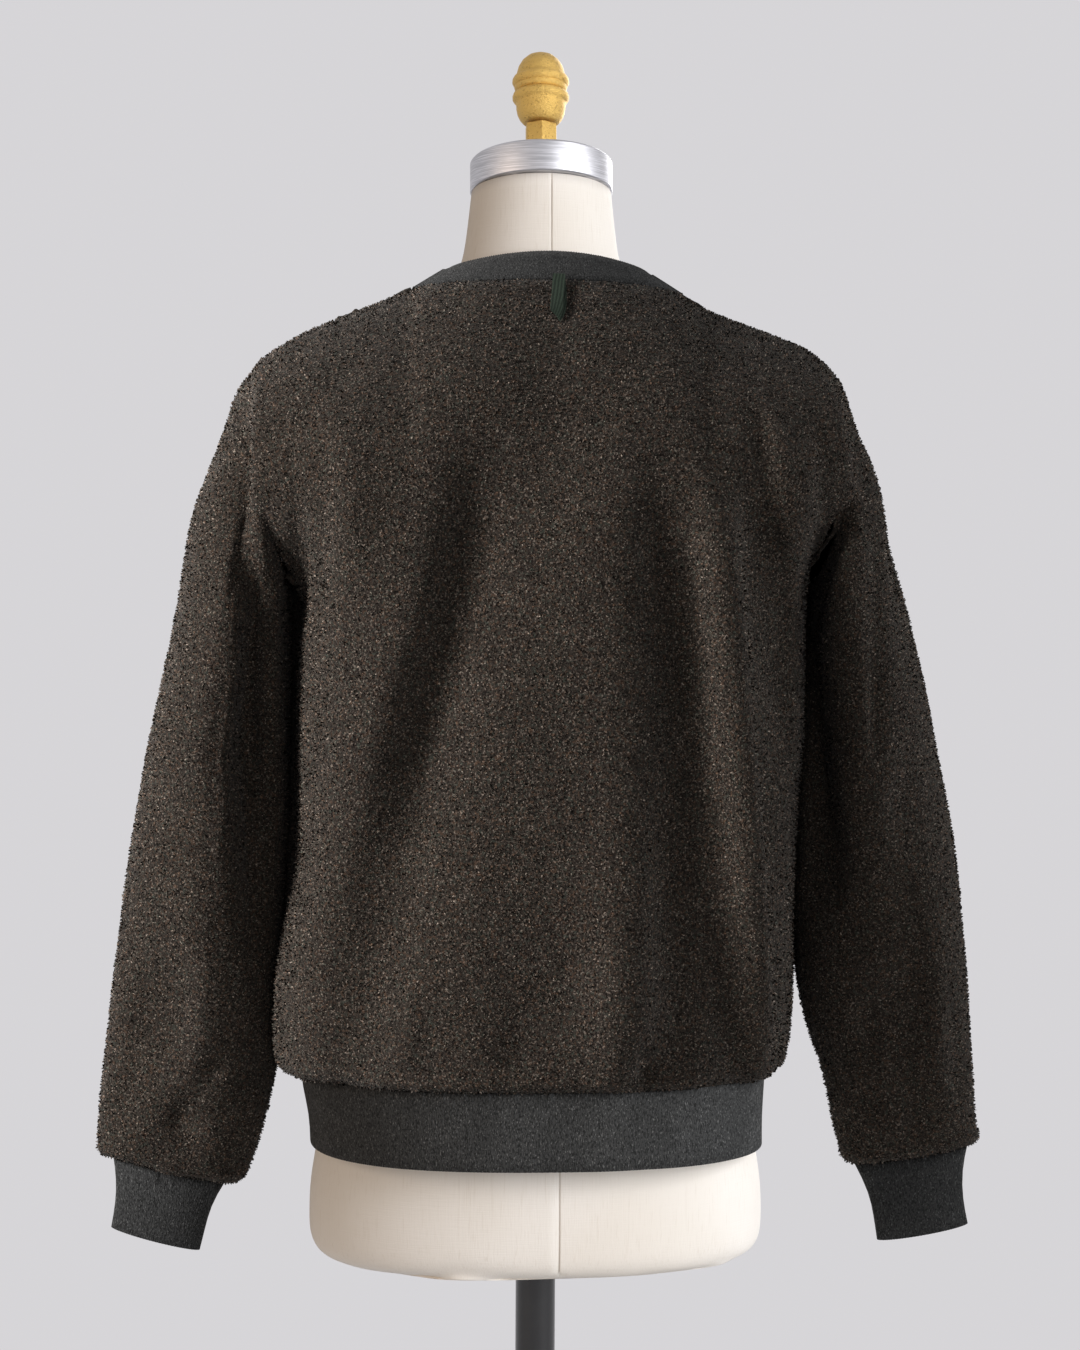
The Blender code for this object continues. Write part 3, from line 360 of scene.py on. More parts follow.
@dataclass(frozen=True)
class LinenFinish:
    """Cream linen with upright threads, stretched over the form."""

    name: str = "cream_linen"
    pale: Colour = (0.84, 0.80, 0.75)
    warm: Colour = (0.72, 0.66, 0.58)
    thread: Colour = (0.60, 0.53, 0.44)

    def make(self) -> bpy.types.Material:
        """Weave upright and level threads, with slubs.

        Returns:
            The linen's material.
        """
        dye = Dye(self.name, (1.0, 1.0, 0.045))
        upright = dye.noise(900.0, 2.0, 0.6)
        across = dye.node("ShaderNodeMapping", inputs={"Vector": dye.plain, "Scale": (0.05, 0.05, 1.0)})
        level = dye.noise(1100.0, 1.0, 0.5, 2.9, across)
        slub = dye.noise(240.0, 2.0, 0.6, 8.8)
        tone = dye.noise(7.0, 2.0, 0.5, 6.1, dye.plain)
        colour = dye.blend(self.pale, self.warm, tone.step(0.42, 0.70) * 0.45)
        colour = dye.blend(colour, self.thread, upright.step(0.56, 0.74) * 0.24)
        colour = dye.blend(colour, self.thread, slub.step(0.62, 0.74) * 0.12)
        relief = upright + level * 0.7
        return dye.finish(colour, 0.82, relief, 0.0003, 0.45, Sheen_Weight=0.1, Specular_IOR_Level=0.3)


@dataclass(frozen=True)
class TapeFinish:
    """Woven dark green tape."""

    name: str = "woven_tape"
    dark: Colour = (0.012, 0.019, 0.013)
    light: Colour = (0.034, 0.050, 0.035)

    def make(self) -> bpy.types.Material:
        """Weave a diagonal twill.

        Returns:
            The tape's material.
        """
        dye = Dye(self.name, (1.0, 1.0, 0.35))
        grain = dye.noise(1500.0, 2.0, 0.5)
        twill = dye.node(
            "ShaderNodeTexWave", {"wave_type": "BANDS", "bands_direction": "DIAGONAL"},
            {"Vector": dye.plain, "Scale": 260.0, "Distortion": 1.0}, "Fac",
        )
        colour = dye.blend(self.dark, self.light, (grain * 0.6 + twill * 0.4).step(0.3, 0.75))
        return dye.finish(
            colour, 0.80, twill, 0.0002, 0.25, Sheen_Weight=0.05, Specular_IOR_Level=0.10
        )


@dataclass(frozen=True)
class HornFinish:
    """Dark horn with paler streaks."""

    name: str = "dark_horn"
    dark: Colour = (0.012, 0.008, 0.006)
    pale: Colour = (0.095, 0.060, 0.034)

    def make(self) -> bpy.types.Material:
        """Streak the horn.

        Returns:
            The buttons' material.
        """
        dye = Dye(self.name, (1.0, 1.0, 0.3))
        streaks = dye.noise(330.0, 3.0, 0.6)
        colour = dye.blend(self.dark, self.pale, streaks.step(0.45, 0.72))
        return dye.finish(colour, 0.26 + streaks * 0.2, streaks, 0.0002, 0.4, Coat_Weight=0.15)


@dataclass(frozen=True)
class BrushedFinish:
    """Aluminium brushed round its edge, with rubbed spots."""

    name: str = "brushed_aluminium"
    base: Colour = (0.42, 0.42, 0.44)
    bright: Colour = (0.66, 0.66, 0.69)

    def make(self) -> bpy.types.Material:
        """Draw the brush lines and the rubbed spots.

        Returns:
            The cap's material.
        """
        dye = Dye(self.name, (0.02, 0.02, 1.0))
        lines = dye.noise(1400.0, 3.0, 0.7)
        rubbed = dye.noise(60.0, 3.0, 0.6, 5.5, dye.plain)
        colour = dye.blend(self.base, self.bright, lines.step(0.35, 0.7))
        rough = 0.33 + lines * 0.14 + rubbed * 0.10
        return dye.finish(colour, rough, lines, 0.0002, 0.35, Metallic=1.0)


@dataclass(frozen=True)
class GiltFinish:
    """Grainy gold-coloured casting with darker pits."""

    name: str = "gilt_casting"
    gold: Colour = (0.58, 0.385, 0.115)
    deep: Colour = (0.19, 0.105, 0.026)
    pale: Colour = (0.80, 0.61, 0.28)

    def make(self) -> bpy.types.Material:
        """Lay grain and pits over the gold.

        Returns:
            The finial's material.
        """
        dye = Dye(self.name)
        grain = dye.noise(1300.0, 3.0, 0.65)
        pits = dye.noise(650.0, 2.0, 0.5, 3.3)
        colour = dye.blend(self.gold, self.deep, pits.step(0.56, 0.74) * 0.6)
        colour = dye.blend(colour, self.pale, grain.step(0.56, 0.72) * 0.6)
        rough = 0.36 + grain * 0.22
        return dye.finish(colour, rough, grain + pits * 0.6, 0.0008, 0.9, Metallic=1.0)


@dataclass(frozen=True)
class PaintFinish:
    """Black paint, from gloss to satin."""

    name: str
    colour: Colour = (0.011, 0.011, 0.012)
    worn: Colour = (0.035, 0.035, 0.036)
    roughness: float = 0.22
    grain: float = 420.0
    depth: float = 0.0003

    def make(self) -> bpy.types.Material:
        """Lay dust and wear over the paint.

        Returns:
            The paint's material.
        """
        dye = Dye(self.name)
        skin = dye.noise(self.grain, 2.0, 0.5)
        dust = dye.noise(18.0, 4.0, 0.6, 2.0)
        colour = dye.blend(self.colour, self.worn, dust.step(0.55, 0.8) * 0.5)
        return dye.finish(colour, self.roughness + dust * 0.12, skin, self.depth, 0.4, Coat_Weight=0.2)


@dataclass(frozen=True)
class PlasterFinish:
    """Pale studio floor."""

    name: str = "pale_floor"
    colour: Colour = (0.64, 0.64, 0.65)
    shade: Colour = (0.615, 0.615, 0.625)

    def make(self) -> bpy.types.Material:
        """Cloud the floor faintly.

        Returns:
            The floor's material.
        """
        dye = Dye(self.name)
        cloud = dye.noise(3.0, 4.0, 0.5)
        colour = dye.blend(self.colour, self.shade, cloud.step(0.4, 0.7))
        return dye.finish(colour, 0.7, cloud, 0.001, 0.2)


# Mesh helpers


def smooth_step(value: np.ndarray) -> np.ndarray:
    """Rise smoothly from 0 to 1 as the value does."""
    value = np.clip(value, 0.0, 1.0)
    return value * value * (3.0 - 2.0 * value)


def coordinates(mesh: bpy.types.Mesh) -> np.ndarray:
    """Read a mesh's points.

    Args:
        mesh: The mesh.

    Returns:
        The points, one a row.
    """
    points = np.empty(len(mesh.vertices) * 3)
    mesh.vertices.foreach_get("co", points)
    return points.reshape(-1, 3)


def normals(mesh: bpy.types.Mesh) -> np.ndarray:
    """Read the normals at a mesh's points.

    Args:
        mesh: The mesh.

    Returns:
        The normals, one a row.
    """
    values = np.empty(len(mesh.vertices) * 3)
    mesh.vertices.foreach_get("normal", values)
    return values.reshape(-1, 3)


def place_points(mesh: bpy.types.Mesh, points: np.ndarray) -> None:
    """Move a mesh's points."""
    mesh.vertices.foreach_set("co", points.ravel())
    mesh.update()


def waves(points: np.ndarray, scale: Sequence[float], seed: float) -> np.ndarray:
    """Return an uneven value from -1 to 1 at each point.

    Args:
        points: Places, one a row.
        scale: Waves per metre along each axis.
        seed: Shift that makes two patterns differ.

    Returns:
        One value for each point.
    """
    shifted = points * np.asarray(scale) + seed
    return np.array([noise.noise(Vector(p)) for p in shifted])


def unit(rows: np.ndarray) -> np.ndarray:
    """Scale each row to a length of 1."""
    return rows / np.linalg.norm(rows, axis=1)[:, None]


def placed(name: str, mesh: bpy.types.Mesh) -> bpy.types.Object:
    """Link a new object of a mesh to the scene.

    Args:
        name: The object's name.
        mesh: Its mesh.

    Returns:
        The object.
    """
    piece = bpy.data.objects.new(name, mesh)
    bpy.context.scene.collection.objects.link(piece)
    return piece


def linked(
    name: str, work: BMesh, material: bpy.types.Material, angle: float = 40.0
) -> bpy.types.Object:
    """Make an object of a bmesh, and free the bmesh.

    Args:
        name: The object's name.
        work: Its mesh, placed where it belongs.
        material: Its finish.
        angle: Edges sharper than this many degrees stay sharp.

    Returns:
        The linked object.
    """
    mesh = bpy.data.meshes.new(name)
    work.to_mesh(mesh)
    work.free()
    mesh.shade_smooth()
    mesh.set_sharp_from_angle(angle=math.radians(angle))
    mesh.materials.append(material)
    return placed(name, mesh)


def round_edges(
    work: BMesh, edges: Sequence[bmesh.types.BMEdge], width: float, segments: int = 3
) -> None:
    """Round a mesh's edges off.

    Args:
        work: The mesh.
        edges: The edges.
        width: How far the rounding reaches.
        segments: How many faces it has.
    """
    bmesh.ops.bevel(
        work, geom=edges, offset=width, segments=segments, affect="EDGES", profile=0.5, material=-1
    )


def sharp_edges(work: BMesh) -> list[bmesh.types.BMEdge]:
    """Return the edges between two faces that meet at a clear angle."""
    return [e for e in work.edges if e.is_manifold and e.calc_face_angle(0.0) > SHARP_EDGE]


def drawn_edge(work: BMesh, edge: bmesh.types.BMEdge) -> bmesh.types.BMEdge:
    """Draw a face out of an edge and return the face's far edge."""
    made = bmesh.ops.extrude_edge_only(work, edges=[edge])["geom"]
    return next(g for g in made if isinstance(g, bmesh.types.BMEdge))


def level_edge(work: BMesh, width: float, height: float = 0.0) -> bmesh.types.BMEdge:
    """Add an edge of this width along X, centred at this height."""
    return work.edges.new([work.verts.new((x * width / 2, 0.0, height)) for x in (-1, 1)])


def edge_middle(edge: bmesh.types.BMEdge) -> Vector:
    """Return the middle of an edge."""
    return (edge.verts[0].co + edge.verts[1].co) / 2


def edge_way(edge: bmesh.types.BMEdge) -> Vector:
    """Return the direction of an edge."""
    return (edge.verts[0].co - edge.verts[1].co).normalized()


def applied(piece: bpy.types.Object) -> bpy.types.Object:
    """Apply a piece's modifiers to its mesh.

    Args:
        piece: The piece.

    Returns:
        The piece.
    """
    graph = bpy.context.evaluated_depsgraph_get()
    mesh = bpy.data.meshes.new_from_object(piece.evaluated_get(graph))
    piece.modifiers.clear()
    piece.data = mesh
    return piece


def subdivided(piece: bpy.types.Object, levels: int, fitted: bool = False) -> bpy.types.Object:
    """Round a piece off by subdivision, and apply it.

    Args:
        piece: The piece.
        levels: How often its faces are split.
        fitted: Whether the rounded surface still passes through the points that it started from.

    Returns:
        The piece.
    """
    modifier = piece.modifiers.new("round", "SUBSURF")
    modifier.levels = levels
    modifier.render_levels = levels
    modifier.boundary_smooth = "PRESERVE_CORNERS"
    if fitted:
        rest = coordinates(piece.data)
        shape = rest.copy()
        for _ in range(FIT_ROUNDS):
            graph = bpy.context.evaluated_depsgraph_get()
            rounded = coordinates(piece.evaluated_get(graph).data)[: len(rest)]
            shape += (rest - rounded) * FIT_SHARE
            place_points(piece.data, shape)
    return applied(piece)


def thickened(piece: bpy.types.Object, wall: float) -> bpy.types.Object:
    """Give an open shell its thickness, inwards, and apply it.

    Args:
        piece: The shell.
        wall: Its thickness.

    Returns:
        The piece.
    """
    modifier = piece.modifiers.new("wall", "SOLIDIFY")
    modifier.thickness = wall
    modifier.offset = -1.0
    modifier.use_even_offset = False
    return applied(piece)


def declare(piece: bpy.types.Object, slot: str, *replaced: str) -> bpy.types.Object:
    """Let a piece ride on the part, and hide the CAD nodes that it stands for.

    Args:
        piece: The finished piece.
        slot: The record's material slot; not used.
        replaced: The CAD nodes that it stands for.

    Returns:
        The piece.
    """
    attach(piece, BODY)
    if replaced:
        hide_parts(*replaced)
    LOG.info("%s: %d faces", piece.name, len(piece.data.polygons))
    return piece


def node_points(node: str) -> np.ndarray:
    """Return the points of a CAD node."""
    return coordinates(frame["nodes"][node].data)


def pair_triangles(work: BMesh) -> None:
    """Join a mesh's triangles to quads, as far as they pair up.

    Args:
        work: The mesh.
    """
    bmesh.ops.join_triangles(
        work, faces=work.faces, angle_face_threshold=math.radians(50),
        angle_shape_threshold=math.radians(170), topology_influence=1.0,
    )


def node_quads(node: str) -> BMesh:
    """Copy a CAD node's mesh, merged, with its triangles paired to quads.

    Args:
        node: The node's name.

    Returns:
        The copy.
    """
    work = bmesh.new()
    work.from_mesh(frame["nodes"][node].data)
    bmesh.ops.remove_doubles(work, verts=work.verts, dist=WELD)
    pair_triangles(work)
    return work


def outer_skin(node: str, middle: Callable[[Vector], Vector], wall: float) -> BMesh:
    """Return the outer face of a cloth wall.

    Args:
        node: The CAD node of the wall.
        middle: Gives, for a place, a point well inside the cloth.
        wall: The wall's thickness.

    Returns:
        The outer faces, facing outwards.
    """
    work = bmesh.new()
    work.from_mesh(frame["nodes"][node].data)
    bmesh.ops.remove_doubles(work, verts=work.verts, dist=WELD)
    bmesh.ops.triangulate(work, faces=work.faces)
    tree = BVHTree.FromBMesh(work)
    others = []
    for face in work.faces:
        place = face.calc_center_median()
        outwards = face.normal.dot((place - middle(place)).normalized()) > SKIN_FACING
        start = place - face.normal * SKIN_START
        _, _, _, depth = tree.ray_cast(start, -face.normal, wall * SKIN_LOOK)
        if not outwards or depth is None or depth > wall * SKIN_DEPTH:
            others.append(face)
    bmesh.ops.delete(work, geom=others, context="FACES")
    pair_triangles(work)
    return work


def body_middle(place: Vector) -> Vector:
    """Return the point of the wearer's body that a place on the body's cloth faces away from."""
    return Vector((place.x * MIDDLE_SHARE, BODY_Y, min(place.z, CHEST_Z)))


def tube_middle(node: str) -> Callable[[Vector], Vector]:
    """Find the middle line of a sleeve or cuff.

    Args:
        node: Its CAD node.

    Returns:
        A function that gives the middle at a place's height.
    """
    points = node_points(node)
    levels = np.linspace(points[:, 2].min(), points[:, 2].max(), TUBE_LEVELS)
    rows = []
    for level in levels:
        near = points[np.abs(points[:, 2] - level) < TUBE_REACH]
        rows.append((near.min(axis=0) + near.max(axis=0)) / 2)
    rows = np.array(rows)

    def middle(place: Vector) -> Vector:
        """Find the middle at a place's height.

        Args:
            place: The place.

        Returns:
            The middle.
        """
        x = np.interp(place.z, levels, rows[:, 0])
        y = np.interp(place.z, levels, rows[:, 1])
        return Vector((float(x), float(y), place.z))

    return middle


def rim_distance(mesh: bpy.types.Mesh, points: np.ndarray) -> np.ndarray:
    """Measure from a shell's points to its open edge.

    Args:
        mesh: The shell.
        points: Its points.

    Returns:
        Each point's distance.
    """
    counts = np.zeros(len(mesh.edges), int)
    for polygon in mesh.polygons:
        for key in polygon.loop_indices:
            counts[mesh.loops[key].edge_index] += 1
    rim = sorted({v for i in np.flatnonzero(counts == 1) for v in mesh.edges[i].vertices})
    tree = KDTree(len(rim))
    for index in rim:
        tree.insert(points[index], index)
    tree.balance()
    return np.array([tree.find(p)[2] for p in points])


# Cloth


@dataclass(frozen=True)
class Crease:
    """A soft ridge, trough or step on a panel or sleeve, along a line of x and z."""

    line: Line
    rise: float
    width: float
    relief: Relief = Relief.RIDGE
    face: Face = Face.BACK
    over_seam: bool = False
    reach: float = 3.0
    taper: float = 0.22
    side_blend: float = 0.02
    mean: float = 0.8
    swell: float = 0.35
    swell_turns: float = 9.0
    swell_shift: float = 80.0

    def lift(self, points: np.ndarray, middle_y: float) -> np.ndarray:
        """Return how far each point stands out.

        Args:
            points: Places on the cloth.
            middle_y: The depth that parts the back from the front.

        Returns:
            One value in metres for each point.
        """
        nearest = np.full(len(points), 1e3)
        left = np.zeros(len(points))
        along = np.zeros(len(points))
        line = np.array(self.line)
        lengths = np.concatenate([[0.0], np.cumsum(np.linalg.norm(np.diff(line, axis=0), axis=1))])
        flat = points[:, [0, 2]]
        for index, (start, end) in enumerate(zip(line[:-1], line[1:])):
            step = end - start
            share = np.clip(((flat - start) @ step) / (step @ step), 0.0, 1.0)
            away = np.linalg.norm(flat - start - share[:, None] * step, axis=1)
            closer = away < nearest
            nearest[closer] = away[closer]
            along[closer] = (lengths[index] + share * np.linalg.norm(step))[closer]
            turn = step[0] * (flat - start)[:, 1] - step[1] * (flat - start)[:, 0]
            left[closer] = np.sign(turn)[closer]
        place = along / lengths[-1]
        ends = smooth_step(place / self.taper) * smooth_step((1.0 - place) / self.taper)
        phase = place * self.swell_turns + self.line[0][0] * self.swell_shift
        uneven = self.mean + self.swell * np.sin(phase)
        side = smooth_step(self.face.value * (points[:, 1] - middle_y) / self.side_blend)
        away = nearest / self.width
        if self.relief is Relief.STEP:
            profile = left * np.tanh(away) * np.exp(-((away / self.reach) ** 2))
        else:
            profile = np.exp(-(away ** 2))
        return self.rise * ends * uneven * side * profile


step_crease = partial(Crease, relief=Relief.STEP)
seam_crease = partial(Crease, over_seam=True)
front_crease = partial(Crease, face=Face.FRONT)


def mirrored(line: Line, side: int, shift: float = 0.0) -> Line:
    """Return a line of the left side moved outwards and, for side -1, mirrored."""
    return tuple((side * (x + shift), z) for x, z in line)


@dataclass(frozen=True)
class Ripple:
    """An unevenness of the cloth, which fades out at its edges."""

    height: float
    scale: tuple[float, float, float]
    seed: float
    fade: float

    def lift(self, points: np.ndarray, rim: np.ndarray, turn: int) -> np.ndarray:
        """Return how far each point stands out, for its place and its distance to the edge."""
        uneven = waves(points, self.scale, self.seed + turn)
        return self.height * uneven * smooth_step(rim / self.fade)


@dataclass(frozen=True)
class Nap:
    """Short curls that stand on the fleece."""

    material: bpy.types.Material
    spacing: float = 0.00205
    width: float = 0.00105
    rise: float = 0.00120
    root: float = 0.0005
    stretch: float = 1.3
    tip: float = 0.7
    sizes: tuple[float, float] = (0.7, 1.4)
    sway: float = 0.25
    scatter: float = 0.16
    seed: int = 11

    def curl(self) -> tuple[np.ndarray, np.ndarray]:
        """Draw one curl out of a single edge.

        Returns:
            Its points and its face.
        """
        work = bmesh.new()
        edge = drawn_edge(work, level_edge(work, self.width, -self.root))
        bmesh.ops.translate(work, verts=edge.verts, vec=(0.0, self.width, self.rise * self.stretch))
        about = Matrix.Translation(-edge_middle(edge))
        bmesh.ops.scale(work, verts=edge.verts, vec=(self.tip, 1.0, 1.0), space=about)
        work.verts.index_update()
        work.normal_update()
        points = np.array([v.co[:] for v in work.verts])
        order = 1 if max(work.faces, key=lambda f: abs(f.normal.z)).normal.z > 0.0 else -1
        faces = np.array([[v.index for v in f.verts][::order] for f in work.faces])
        work.free()
        return points, faces

    def roots(self, mesh: bpy.types.Mesh, random: np.random.Generator) -> tuple[np.ndarray, np.ndarray]:
        """Choose where the curls stand.

        Args:
            mesh: The cloth.
            random: Source of the random draws.

        Returns:
            Each curl's place, and the cloth's normal there.
        """
        mesh.calc_loop_triangles()
        corners = np.empty(len(mesh.loop_triangles) * 3, int)
        mesh.loop_triangles.foreach_get("vertices", corners)
        corners = corners.reshape(-1, 3)
        points, outwards = coordinates(mesh), normals(mesh)
        a, b, c = (points[corners[:, k]] for k in range(3))
        areas = np.linalg.norm(np.cross(b - a, c - a), axis=1) / 2
        count = int(areas.sum() / self.spacing ** 2)
        chosen = corners[random.choice(len(areas), size=count, p=areas / areas.sum())]
        u, v = random.random(count), random.random(count)
        u, v = np.where(u + v > 1, 1 - u, u), np.where(u + v > 1, 1 - v, v)
        weights = np.stack([1 - u - v, u, v], axis=1)[..., None]
        return (points[chosen] * weights).sum(axis=1), (outwards[chosen] * weights).sum(axis=1)

    def grown(
        self, shape: np.ndarray, place: np.ndarray, ground: np.ndarray, random: np.random.Generator
    ) -> np.ndarray:
        """Return the points of every curl, each turned, leant and sized at random.

        Args:
            shape: One curl's points.
            place: Where the curls stand.
            ground: The cloth's normals there.
            random: Source of the random draws.

        Returns:
            The points, one a row.
        """
        normal = unit(ground + random.normal(0.0, self.sway, ground.shape))
        forward = unit(np.cross(normal, random.normal(size=normal.shape)))
        side = np.cross(forward, normal)
        size = random.uniform(*self.sizes, len(place))[:, None, None]
        lean = (
            side[:, None] * shape[None, :, 0:1]
            + forward[:, None] * shape[None, :, 1:2]
            + normal[:, None] * shape[None, :, 2:3]
        )
        return (place[:, None] + lean * size).reshape(-1, 3)

    def cover(self, name: str, shell: bpy.types.Object, turn: int) -> bpy.types.Object:
        """Scatter curls over a shell.

        Args:
            name: The new piece's name.
            shell: The cloth, before it gets its thickness.
            turn: Added to the seed, so that pieces differ.

        Returns:
            One piece with all the curls.
        """
        random = np.random.default_rng(self.seed + turn)
        place, ground = self.roots(shell.data, random)
        shape, faces = self.curl()
        curls = self.grown(shape, place, ground, random)
        count = len(place)
        every = (np.arange(count)[:, None, None] * len(shape) + faces[None]).reshape(-1, 4)
        nap = bpy.data.meshes.new(name)
        nap.from_pydata(curls.tolist(), [], every.tolist())
        # The UV's Y runs from each curl's root to its tip; the curls' material paints shade at the roots
        # from it.
        along = (faces // 2 / (len(shape) / 2 - 1)).ravel()
        spread = np.stack([np.zeros(len(every) * 4), np.tile(along, count)], axis=1)
        nap.uv_layers.new(name="along").data.foreach_set("uv", spread.ravel())
        nap.shade_smooth()
        facing = unit(ground + random.normal(0.0, self.scatter, ground.shape))
        nap.normals_split_custom_set_from_vertices(np.repeat(facing, len(shape), axis=0))
        nap.materials.append(self.material)
        return placed(name, nap)


@dataclass
class FleecePiece:
    """A fleece panel or sleeve: a thin shell on its solid's outer face, with its creases and nap."""

    node: str
    flat: tuple[float, float]
    creases: tuple[Crease, ...]
    material: bpy.types.Material
    nap: Nap
    rests_on: tuple[str, ...]
    turn: int
    tube: bool = False
    area: Optional[float] = None
    held: str = "draped"
    wall: float = 0.0026
    solid_wall: float = 0.004
    lean: float = 0.0
    lean_from: float = 0.87
    lean_to: float = 1.27
    lean_blend: float = 0.05
    inner_from: float = 0.2
    inner_blend: float = 0.6
    seam_depth: float = 0.0012
    seam_width: float = 0.0080
    armhole_depth: float = 0.0008
    armhole_from: tuple[float, float] = (0.15, 1.295)
    armhole_blend: tuple[float, float] = (0.02, 0.03)
    edge_fade: float = 0.02
    overhang: float = 0.0022
    overhang_height: float = 0.040
    overhang_blend: float = 0.02
    overhang_at: float = 0.010
    overhang_width: float = 0.008
    gather_height: float = 0.030
    sag: Ripple = Ripple(0.0011, (18.0, 18.0, 9.0), 3.0, 0.02)
    clumps: Ripple = Ripple(0.0006, (70.0, 70.0, 60.0), 9.0, 0.006)
    gathers: Ripple = Ripple(0.0030, (48.0, 48.0, 6.0), 21.0, 0.005)

    def shell(self) -> bpy.types.Object:
        """Take the solid's outer face and round it off.

        Returns:
            The shell, without its folds and thickness.
        """
        middle = tube_middle(self.node) if self.tube else body_middle
        skin = outer_skin(self.node, middle, self.solid_wall)
        return subdivided(linked(self.node + "_fleece", skin, self.material, 180.0), 2, True)

    def seams(self, points: np.ndarray, outwards: np.ndarray, rim: np.ndarray) -> np.ndarray:
        """Draw the cloth in at its seams, most at the armhole.

        Args:
            points: Places on the cloth.
            outwards: The cloth's normals there.
            rim: Their distances to the edge.

        Returns:
            How far each point stands out, below 0 where it is drawn in.
        """
        x, z = np.abs(points[:, 0]), points[:, 2]
        armhole = smooth_step((z - self.armhole_from[1]) / self.armhole_blend[1])
        armhole *= smooth_step((x - self.armhole_from[0]) / self.armhole_blend[0])
        depth = self.seam_depth + self.armhole_depth * armhole
        return -depth * (1.0 - outwards[:, 0] ** 2) * np.exp(-((rim / self.seam_width) ** 2))

    def inner_side(self, points: np.ndarray, outwards: np.ndarray) -> np.ndarray:
        """Lean a sleeve's inner side towards the body.

        Args:
            points: Places on the cloth.
            outwards: The cloth's normals there.

        Returns:
            How far each point stands out.
        """
        inner = -np.sign(points[:, 0]) * outwards[:, 0]
        inner = smooth_step((inner - self.inner_from) / self.inner_blend)
        z = points[:, 2]
        along = smooth_step((z - self.lean_from) / self.lean_blend)
        return self.lean * inner * along * smooth_step((self.lean_to - z) / self.lean_blend)

    def slump(self, points: np.ndarray, rim: np.ndarray) -> np.ndarray:
        """Let the cloth roll and gather over the rib below.

        Args:
            points: Places on the cloth.
            rim: Their distances to the edge.

        Returns:
            How far each point stands out.
        """
        height = points[:, 2] - points[:, 2].min()
        low = smooth_step((self.overhang_height - height) / self.overhang_blend)
        roll = np.exp(-(((rim - self.overhang_at) / self.overhang_width) ** 2))
        gather = np.exp(-np.clip(height, 0.0, None) / self.gather_height)
        return self.overhang * low * roll + gather * self.gathers.lift(points, rim, self.turn)

    def fold(self, piece: bpy.types.Object) -> None:
        """Press the seams in, raise the creases and make the surface a little uneven.

        Args:
            piece: The shell.
        """
        points, outwards = coordinates(piece.data), normals(piece.data)
        middle_y = (points[:, 1].min() + points[:, 1].max()) / 2 if self.tube else BODY_Y
        rim = rim_distance(piece.data, points)
        lift = self.seams(points, outwards, rim)
        if self.tube:
            lift += self.inner_side(points, outwards)
        fade = smooth_step(rim / self.edge_fade)
        for crease in self.creases:
            lift += crease.lift(points, middle_y) * (1.0 if crease.over_seam else fade)
        for ripple in (self.sag, self.clumps):
            lift += ripple.lift(points, rim, self.turn)
        lift += self.slump(points, rim)
        place_points(piece.data, points + outwards * lift[:, None])

    def build(self) -> bpy.types.Object:
        """Returns:
            The cloth.
        """
        piece = self.shell()
        self.fold(piece)
        nap = declare(self.nap.cover(self.node + "_nap", piece, self.turn), "fleece")
        thickened(piece, self.wall)
        declare(piece, "fleece", self.node)
        return piece


@dataclass
class RibPiece:
    """A rib-knit band: a thin shell with its wales raised."""

    node: str
    flat: tuple[float, float]
    material: bpy.types.Material
    run: Run
    wales: int
    rests_on: tuple[str, ...]
    tube: bool = False
    area: Optional[float] = None
    held: str = "stretched"
    wall: float = 0.0021
    solid_wall: float = 0.0025
    relief: float = 0.0006

    def spacing_edges(self, work: BMesh) -> list[bmesh.types.BMEdge]:
        """Find the edges that the wales cross, which lie round a tube or along a band.

        Args:
            work: The band's mesh.

        Returns:
            The edges.
        """
        if self.run is Run.ROUND:
            return [e for e in work.edges if abs(edge_way(e).z) < LEVEL_EDGE]
        rim = [e for e in work.edges if e.is_boundary]
        tree = KDTree(len(rim))
        for index, edge in enumerate(rim):
            tree.insert(edge_middle(edge), index)
        tree.balance()
        found = []
        for edge in work.edges:
            near = [rim[i] for _, i, _ in tree.find_n(edge_middle(edge), 3)]
            longest = max(near, key=lambda e: e.calc_length())
            if abs(edge_way(edge).dot(edge_way(longest))) > ALONG_RIM:
                found.append(edge)
        return found

    def build(self) -> bpy.types.Object:
        """Returns:
            The band.
        """
        middle = tube_middle(self.node) if self.tube else body_middle
        skin = outer_skin(self.node, middle, self.solid_wall)
        piece = subdivided(linked(self.node + "_rib", skin, self.material, 180.0), 1, True)
        work = bmesh.new()
        work.from_mesh(piece.data)
        bmesh.ops.subdivide_edges(
            work, edges=self.spacing_edges(work), cuts=self.wales - 1, use_grid_fill=True
        )
        made = bmesh.ops.subdivide_edges(
            work, edges=self.spacing_edges(work), cuts=1, use_grid_fill=True
        )
        work.normal_update()
        tops = [g for g in made["geom_inner"] if isinstance(g, bmesh.types.BMVert)]
        moves = [(v, v.normal.copy()) for v in tops]
        for vert, normal in moves:
            vert.co += normal * self.relief
        work.to_mesh(piece.data)
        work.free()
        thickened(piece, self.wall)
        declare(piece, "rib_knit", self.node)
        return piece


